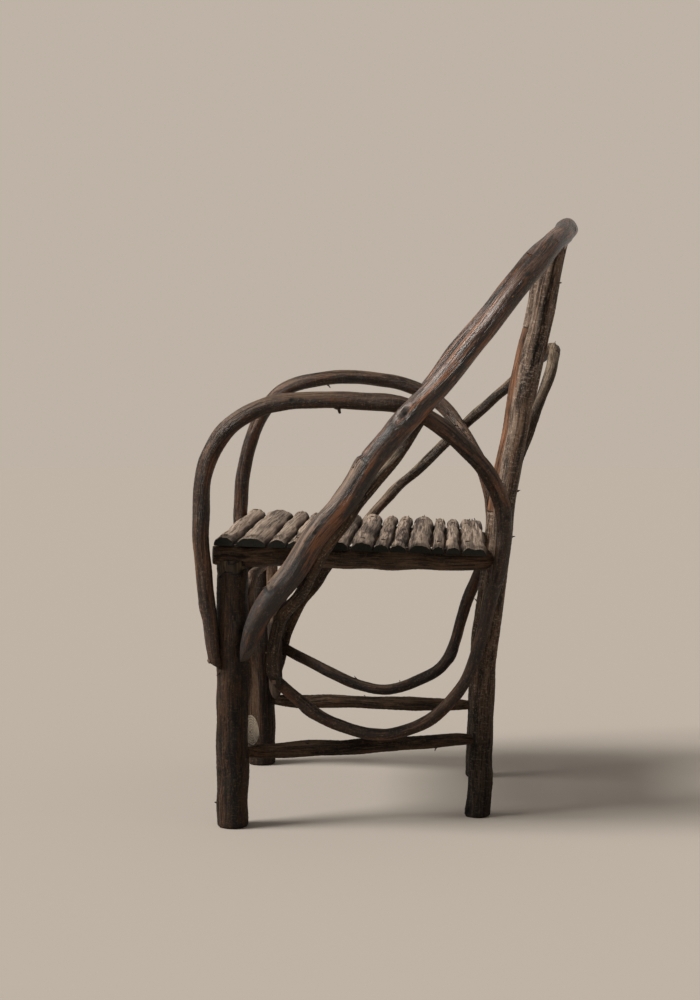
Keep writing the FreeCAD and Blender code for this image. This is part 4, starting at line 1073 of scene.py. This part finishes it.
def wood(name, look):
    """Weathered wood: mottled and streaked along its grain, cracked, greyed by bloom and a painted highlight
    where it faces up, and on some woods darkened by painted shade where it faces sideways and down.
    """
    shader = Shader(bpy.data.materials.new(name))
    times, plus, mix = shader.times, shader.plus, shader.mix
    log = shader.attribute("log", "Vector")
    fibre, mottle, streak, patch, seam, fleck = (
        shader.grain(log, along * look.grain, *noise)
        for along, *noise in (FIBRE, MOTTLE, STREAK, PATCH, SEAM, FLECK))

    def ramp(value, trait):
        return shader.ramp(value, *RAMPS[trait])

    up = shader.axis(shader.node("ShaderNodeNewGeometry", output="Normal"), "Z")
    tone = plus(times(mottle, MOTTLE_IN_TONE), times(fibre, 1 - MOTTLE_IN_TONE))
    crack = times(ramp(shader.off(seam, 0.5), "crack seam"), ramp(patch, "crack patch"))
    warm = times(times(ramp(streak, "warm streak"), ramp(patch, "warm patch")), ramp(fibre, "warm fibre"))
    # Pale grey where the wood faces up: partly weathered bloom and partly a painted highlight on the upper
    # side
    bloom = plus(tone, times(patch, PATCH_IN_BLOOM_AND_HIGHLIGHT))
    bloom = times(ramp(up, "bloom and highlight side"), shader.ramp(bloom, look.bloom_from, look.bloom_from + BLOOM_AND_HIGHLIGHT_RANGE))
    ring = ramp(shader.grain(log, *RING), "ring")
    colour = mix(ramp(tone, "tone"), look.dark, look.body)
    for share, strength, tint in (
            (warm, look.streaks, look.streak), (bloom, look.blooms, look.bloom),
            (ring, look.rings, look.bloom), (ramp(fleck, "pale fleck"), look.flecks, look.bloom),
            (ramp(fleck, "dark fleck"), look.flecks, shade_of(look.dark, "fleck"))):
        colour = mix(times(share, strength), colour, tint)
    # Painted shade: faces that turn sideways and down are darkened towards the dark tint, by the look's share
    colour = mix(shader.ramp(up, *PAINTED_SHADE_FLANK_RANGE, look.flanks, 0.0), colour, shade_of(look.dark, "painted_shade_flank"))

    peel = shader.attribute("peel")
    bare = mix(ramp(tone, "peel"), shade_of(look.peel, "peel"), look.peel)
    bare = mix(ramp(streak, "peel streak"), bare, look.dark)
    colour = mix(ramp(peel, "peel"), colour, bare)
    colour = mix(ramp(shader.off(peel, 0.5), "peel rim"), colour, shade_of(look.dark, "rim"))
    colour = mix(times(crack, look.cracks), colour, shade_of(look.dark, "crack"))
    hollow = ramp(shader.attribute("scar"), "hollow")
    colour = mix(hollow, colour, shade_of(look.dark, "hollow"))

    # Darker towards the floor: the colour's value falls from full at the look's height to one less its share
    # at the floor, and the roughness rises there
    height = shader.axis(shader.node("ShaderNodeTexCoord", output="Object"), "Z")
    height_lightness = shader.ramp(height, 0.0, look.grime_height, 1 - look.grime, 1.0)
    tint = ramp(shader.noise(log, *TINT), "tint")
    colour = shader.node("ShaderNodeHueSaturation", {"Color": colour, "Value": times(height_lightness, tint)})
    cut = shader.attribute("cut")
    sawn = mix(shader.year_rings(log, mottle), shade_of(look.cut, "year"), look.cut)
    sawn = mix(ramp(fleck, "pit"), sawn, shade_of(look.cut, "pit"))

    shine = plus(shader.ramp(tone, *SHINE_RANGE, *look.roughness),
                 times(shader.calculate("SUBTRACT", 1.0, height_lightness), FLOORWARD_ROUGHNESS))
    dull = shader.calculate("MAXIMUM", cut, hollow)
    rough = shader.node("ShaderNodeMix", {0: dull, 2: shine, 3: CUT_ROUGHNESS}, data_type="FLOAT")
    relief = plus(plus(fibre, times(mottle, MOTTLE_IN_RELIEF)), times(fleck, FLECK_IN_RELIEF))
    relief = shader.calculate("SUBTRACT", relief, times(crack, CRACK_IN_RELIEF))
    return shader.surface({
        "Base Color": mix(ramp(cut, "cut"), colour, sawn), "Roughness": rough,
        "Specular IOR Level": look.gloss, "Coat Weight": look.coat, "Coat Roughness": COAT_ROUGHNESS,
        "Normal": shader.bump(relief, look.bump, BUMP_DEPTH)})


TINTS = ("dark", "body", "streak", "bloom", "peel", "cut")
PLAIN_FINISH = {
    "streaks": 0.5, "blooms": 0.8, "bloom_from": 0.62, "cracks": 0.7, "rings": 0.25, "flecks": 0.5,
    "roughness": (0.42, 0.66), "bump": 0.9, "gloss": 0.25, "coat": 0.0, "grime": 0.0, "grime_height": 0.5,
    "grain": 1.0, "flanks": 0.0,
}


def wood_look(*colours, **finish):
    """One kind of wood: its tints in their order, and where its finish isn't the plain one."""
    tints = {tint: seen_colour(*colour) for tint, colour in zip(TINTS, colours)}
    return SimpleNamespace(**tints, **{**PLAIN_FINISH, **finish})


LOOKS = {
    "bow_bark": wood_look(
        (16, 9, 6), (68, 43, 29), (150, 90, 45), (138, 116, 103), (134, 106, 85), (66, 52, 40),
        streaks=0.8, blooms=0.3, cracks=0.9, rings=0.12, roughness=(0.14, 0.3), bump=0.5, gloss=0.5,
        coat=0.05, grime=0.55, grime_height=0.85),
    "arm_bark": wood_look(
        (22, 14, 9), (62, 40, 25), (112, 70, 40), (140, 116, 96), (112, 84, 62), (80, 62, 46),
        streaks=0.6, blooms=0.5, roughness=(0.3, 0.5), gloss=0.35, grime=0.35),
    "thin_bark": wood_look(
        (26, 18, 12), (66, 48, 34), (104, 70, 44), (156, 138, 116), (112, 86, 66), (58, 46, 37),
        rings=0.35, flecks=0.6, grime=0.3),
    "arch_bark": wood_look(
        (56, 43, 34), (134, 108, 90), (124, 92, 68), (170, 152, 136), (150, 126, 108), (252, 240, 222),
        blooms=0.4, rings=0.2, flecks=0.6, roughness=(0.5, 0.75), bump=0.8),
    "leg_bark": wood_look(
        (18, 12, 8), (60, 42, 29), (82, 54, 34), (104, 84, 64), (92, 78, 60), (52, 42, 33), blooms=0.2,
        rings=0.35, roughness=(0.42, 0.7), bump=1.0, gloss=0.2, grime=0.15),
    "post_wood": wood_look(
        (34, 25, 18), (120, 96, 78), (130, 90, 60), (204, 184, 166), (136, 94, 66), (66, 54, 44),
        streaks=0.4, rings=0.45, roughness=(0.42, 0.64), bump=0.8, grime=0.87),
    "rail_wood": wood_look(
        (34, 25, 18), (100, 78, 60), (108, 72, 48), (124, 104, 84), (110, 90, 76), (52, 42, 33),
        streaks=0.45, blooms=0.3, roughness=(0.42, 0.68), gloss=0.22, grime=0.6),
    # The slats carry painted shade on their faces that turn sideways and down.
    "slat_wood": wood_look(
        (42, 31, 25), (104, 84, 70), (126, 92, 60), (172, 154, 138), (150, 130, 112), (32, 31, 23),
        streaks=0.7, bloom_from=0.57, cracks=0.6, rings=0.0, flecks=0.25, roughness=(0.6, 0.85),
        gloss=0.3, grain=0.3, flanks=0.9),
}
RUST_SPOTS = (900, 4.0, 0.7, 0.0)
RUST_COLOURS = (seen_colour(66, 56, 49), seen_colour(104, 76, 56))
RUST_RANGE = (0.42, 0.62)
IRON_ROUGHNESS = (0.3, 0.7, 0.45, 0.75)
IRON_METALLIC = 0.4
IRON_BUMP = (0.5, 0.0004)


def iron(name):
    """Old nail iron: dark, dull and rusted in spots."""
    shader = Shader(bpy.data.materials.new(name))
    spots = shader.noise(shader.node("ShaderNodeTexCoord", output="Object"), *RUST_SPOTS)
    return shader.surface({
        "Base Color": shader.mix(shader.ramp(spots, *RUST_RANGE), *RUST_COLOURS), "Metallic": IRON_METALLIC,
        "Roughness": shader.ramp(spots, *IRON_ROUGHNESS), "Normal": shader.bump(spots, *IRON_BUMP)})


woods = {name: wood(name, look) for name, look in LOOKS.items()}


def finish_wood(piece, slot, node):
    """Give a piece its wood, set it on the chair and let it stand for its node."""
    piece.data.materials.clear()
    piece.data.materials.append(woods[slot])
    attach(piece, "root")
    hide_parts(node)


def grow(node, slot, stick, seed, **details):
    """Make a stick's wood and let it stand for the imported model's node."""
    finish_wood(stick_skin(node + "_wood", stick, seed, **details), slot, node)


# Places of knots, strips and stubs in the photograph, in pixels
BOW_KNUCKLE = (404, 414)
BOW_STRIP_TOP = (357, 462)
BOW_STRIP_FOOT = (275, 588)
BOW_SPUR = (539, 244)
BOW_LOW_KNOT = (274, 585)
ARM_STUB = (338, 408)
HOOP_REAR_KNOT = (500, 514)
HOOP_LOW_KNOT = (303, 712)
FAR_HOOP_KNOT = (451, 662)
BARK_HAIRS = [(359, 459), (357, 463), (361, 456), (275, 583), (272, 586)]
POST_SPURS = [(518, 492), (517, 538), (563, 285)]
POST_CRACK_TOP = (553, 262)
POST_CRACK_FOOT = (531, 360)
POST_FOOT_KNOTS = [(493, 778), (467, 812)]
FAR_PEEL_TOP = (529, 329)
FAR_PEEL_FOOT = (496, 511)
LEG_SPUR = (214, 802)
RAIL_SPLIT = [(214, 551), (246, 556)]
POST_HOLLOW = (467, 810)

# Pieces: the bow, the hoops and the straight sticks, each with its own knots, strips and broken twigs

LEG_BARK_TOP = 0.386
ARCH_DARK_TOP = 0.24
UP_FRONT = (0.5, -0.66, 0.52)
BOW_NEAR_SHARE = 0.99
BOW_SPUR_SHARE = 0.86


def grow_bow():
    near_out = bow_out * BOW_NEAR_SHARE
    strip_top, strip_foot = seen_at(BOW_STRIP_TOP, near_out), seen_at(BOW_STRIP_FOOT, near_out)
    hairs = [Spur(seen_at(pixel, near_out), UP_FRONT, 0.009, 0.0016, -2.0) for pixel in BARK_HAIRS]
    grow("back_bow", "bow_bark", bow, 10, rough=0.6, knot_spacing=0.25,
         ends=[End((side * 0.35, 0.55, -0.75), 0.004) for side in (LEFT, RIGHT)],
         knots=[Knot(seen_at(BOW_KNUCKLE, near_out), (0.9, -0.45, 0.1), 0.0075, 0.014, 1.3),
                Knot(strip_top, (0.3, -0.7, 0.5), 0.003, 0.008),
                Knot(seen_at(BOW_LOW_KNOT, near_out), (0.8, -0.5, 0.3), 0.003, 0.007, 1.1)],
         strips=[Strip(strip_top, strip_foot, UP_FRONT, 38, rise=0.0012)],
         spurs=[Spur(seen_at(BOW_SPUR, bow_out * BOW_SPUR_SHARE), (0.2, -0.75, 0.55), 0.006, 0.003, -0.3),
                *hairs])


def grow_hoops():
    grow("arm_hoop_left", "arm_bark", hoops["left"], 40, rough=0.8,
         ends=(End((0.2, -0.45, -0.85), 0.001), End((1, -0.6, 0.2))),
         knots=[Knot(seen_at(HOOP_REAR_KNOT, post_out + post_radius), (0.9, 0.3, 0.1), 0.003, 0.009, 0.6),
                Knot(seen_at(HOOP_LOW_KNOT, post_out), (0.6, -0.2, -0.7), 0.0035, 0.008)],
         spurs=[Spur(seen_at(ARM_STUB, leg_out + hoop_radius), (0.3, 0.3, -0.9), 0.006, 0.006)])
    grow("arm_hoop_right", "arm_bark", hoops["right"], 70, rough=0.9,
         ends=(End((-0.2, -0.45, -0.85), 0.001), End((0.9, -0.4, 0.3))),
         knots=[Knot(seen_at(FAR_HOOP_KNOT, -post_out), (0.6, 0.6, -0.3), 0.0035, 0.008)])


def grow_post(name, side):
    """A rear post: the left one with its knots and crack, the right one with its long peeled strip."""
    foot = End((0, 0, -1), 0.0, 0.003)
    if side == LEFT:
        behind, before = (Knot(seen_at(pixel, post_out), (0.2, back, 0), 0.003, 0.008)
                          for pixel, back in zip(POST_FOOT_KNOTS, (1, -1)))
        knots = [behind, before, Knot(seen_at(POST_HOLLOW, post_out), (0.6, -0.8, 0), 0.0012, 0.011, 2.6)]
        spurs = [Spur(seen_at(pixel, post_out), (0.1, 0.95, 0.2), 0.004, 0.003) for pixel in POST_SPURS]
        strip = Strip(seen_at(POST_CRACK_TOP, post_out), seen_at(POST_CRACK_FOOT, post_out), (1, 0.25, 0), 4,
                      rise=-0.001, mark="scar")
    else:
        knots, spurs = (), ()
        strip = Strip(seen_at(FAR_PEEL_TOP, -post_out), seen_at(FAR_PEEL_FOOT, -post_out), (1, -0.5, 0), 75,
                      rise=-0.0006, edge=0.004)
    grow("rear_post_" + name, "post_wood", posts[name], 100 + 30 * side, ends=(foot, End()), knots=knots,
         spurs=spurs, strips=[strip])


def grow_leg(name, side):
    """A front leg, bare of bark round its top."""
    low, top = (place(side * leg_out, 0, height) for height in (LEG_BARK_TOP, SIZE["leg_height"]))
    bare = Strip(low, top, OUTWARD, 180, rise=-0.0012, edge=0.002, ragged=0.3)
    spurs = [Spur(seen_at(LEG_SPUR, leg_out), (0, -0.95, 0.3), 0.0015, 0.004)]
    grow("front_leg_" + name, "leg_bark", front_leg(side), 200 + 30 * side, rough=0.85,
         ends=(End((0, 0, -1), 0.0, 0.004), End()), spurs=spurs if side == LEFT else (), strips=[bare])


def grow_side_sticks(name, side):
    split = [Strip(*(seen_at(pixel, leg_out) for pixel in RAIL_SPLIT), OUTWARD, 7, rise=-0.0015, mark="scar")]
    grow("seat_side_rail_" + name, "rail_wood", side_rail(name), 300 + 30 * side,
         strips=split if side == LEFT else ())
    height = SIZE["stretcher_height"]
    stretcher = straight_stick(leg_member(name, height), post_member(name, height + SIZE["stretcher_rise"]),
                               SIZE["stretcher_diameter"], SIZE["stretcher_tenon_diameter"],
                               STRETCHER_SHARES[name])
    grow("side_stretcher_" + name, "rail_wood", stretcher, 400 + 30 * side, rough=1.4)


def grow_thin_saplings():
    """The inner hoop, the strut and the arch, whose right foot is dark."""
    grow("inner_back_hoop", "thin_bark", inner, 600, rough=1.3,
         ends=(End((0, 0.6, -0.7)), End((0.5, -0.6, -0.6))))
    grow("bow_strut", "thin_bark", strut, 640, rough=1.2,
         ends=(End((0.6, 0.3, 0.6)), End((0.6, -0.3, -0.7))))
    offset = -SIZE["arch_diameter"] / 2 * unit((ARCH_BEVEL_SHARE, 0, -1))[0]
    foot, top = (place(-leg_out, 0, height) for height in (SIZE["arch_foot_height"], ARCH_DARK_TOP))
    dark_foot = Strip(foot, top, OUTWARD, 180, rise=0.0, edge=0.03, mark="scar")
    grow("front_arch", "arch_bark", arch, 680, strips=[dark_foot],
         ends=[End((side * ARCH_BEVEL_SHARE, 0, -1), offset) for side in (LEFT, RIGHT)])


def grow_cross_stick(node, seed, member, height, diameter, tenon_diameter, shares):
    """A stick across the chair, between its left and right members."""
    left, right = (member(name, SIZE[height]) for name in SIDES)
    grow(node, "rail_wood", straight_stick(left, right, SIZE[diameter], SIZE[tenon_diameter], shares), seed)


def lay_slats():
    front_edge = -SIZE["slat_front_edge"]
    for index, share in enumerate(SLAT_WIDTH_SHARES):
        node = "seat_slat_%02d" % (index + 1)
        finish_wood(slat(node + "_wood", index, front_edge), "slat_wood", node)
        front_edge += SIZE["slat_field"] * share + SIZE["slat_gap"]


def rust_nails():
    """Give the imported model's own nails their iron."""
    nail_iron = iron("iron")
    for node in ("slat_nails", "hoop_nails", "bow_nails", "brace_nails"):
        nail_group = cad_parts[node]
        nail_group.data.materials.clear()
        nail_group.data.materials.append(nail_iron)


grow_bow()
grow_hoops()
for name, side in SIDES.items():
    grow_post(name, side)
    grow_leg(name, side)
    grow_side_sticks(name, side)
grow_thin_saplings()
grow_cross_stick("seat_front_rail", 720, leg_member, "front_rail_height", "front_rail_diameter",
                 "rail_tenon_diameter", CROSS_RAIL_SHARES)
grow_cross_stick("seat_rear_rail", 740, post_member, "rear_rail_height", "rear_rail_diameter",
                 "rail_tenon_diameter", CROSS_RAIL_SHARES)
grow_cross_stick("rear_stretcher", 760, post_member, "rear_stretcher_height", "stretcher_diameter",
                 "stretcher_tenon_diameter", STRETCHER_SHARES["right"])
grow("back_spindle_middle", "post_wood", middle_spindle(), 780)
lay_slats()
rust_nails()


# Floor, light and camera

FLOOR_RADIUS = 9.0
FLOOR_SIDES = 96
FLOOR_COLOUR = seen_colour(176, 169, 161)
WALL_COLOUR = seen_colour(190, 179, 166)
SKY_COLOUR = (0.33, 0.305, 0.28, 1)
WARM = (1.0, 0.96, 0.9)
# Where each light stands, its strength and its spread in degrees
LIGHTS = {"window": ((0.8, -2.6, 2.9), 3.1, 22), "side_window": ((0.45, -3.0, 1.0), 1.5, 35)}


def pale_floor():
    bpy.ops.mesh.primitive_circle_add(vertices=FLOOR_SIDES, radius=FLOOR_RADIUS, fill_type="NGON",
                                      location=(0, 0, 0))
    floor = bpy.context.object
    floor.name = "floor"
    finish = {"Base Color": FLOOR_COLOUR, "Roughness": 1.0, "Specular IOR Level": 0.0}
    floor.data.materials.append(Shader(bpy.data.materials.new("pale_floor")).surface(finish))


def soft_world():
    """Even light all round, and a pale wall that only the camera sees."""
    shader = Shader(bpy.data.worlds.new("studio"))
    seen = shader.node("ShaderNodeLightPath", output="Is Camera Ray")
    colour = shader.mix(seen, SKY_COLOUR, WALL_COLOUR)
    bpy.context.scene.world = shader.surface({"Color": colour}, "Background")


def aim(name, data, where, axis, direction):
    """A lamp or camera in its place, with that axis along a direction."""
    thing = bpy.data.objects.new(name, data)
    thing.location = Vector(where)
    thing.rotation_euler = Vector(direction).to_track_quat(axis, "Y").to_euler()
    bpy.context.scene.collection.objects.link(thing)
    return thing


def even_light(name, where, strength, spread):
    """Light as through a wide window far away, which leaves no bright spot on the floor."""
    data = bpy.data.lights.new(name, "SUN")
    data.energy = strength
    data.angle = math.radians(spread)
    data.color = WARM
    aim(name, data, where, "Z", where)


def photo_camera():
    data = bpy.data.cameras.new("photo_camera")
    data.sensor_width = SENSOR
    data.lens = FOCAL_PIXELS / IMAGE_HEIGHT * SENSOR
    bpy.context.scene.camera = aim("photo_camera", data, camera_place, "-Z", camera_forward)


pale_floor()
soft_world()
for name, setting in LIGHTS.items():
    even_light(name, *setting)
photo_camera()
bpy.context.scene.view_settings.view_transform = "Standard"
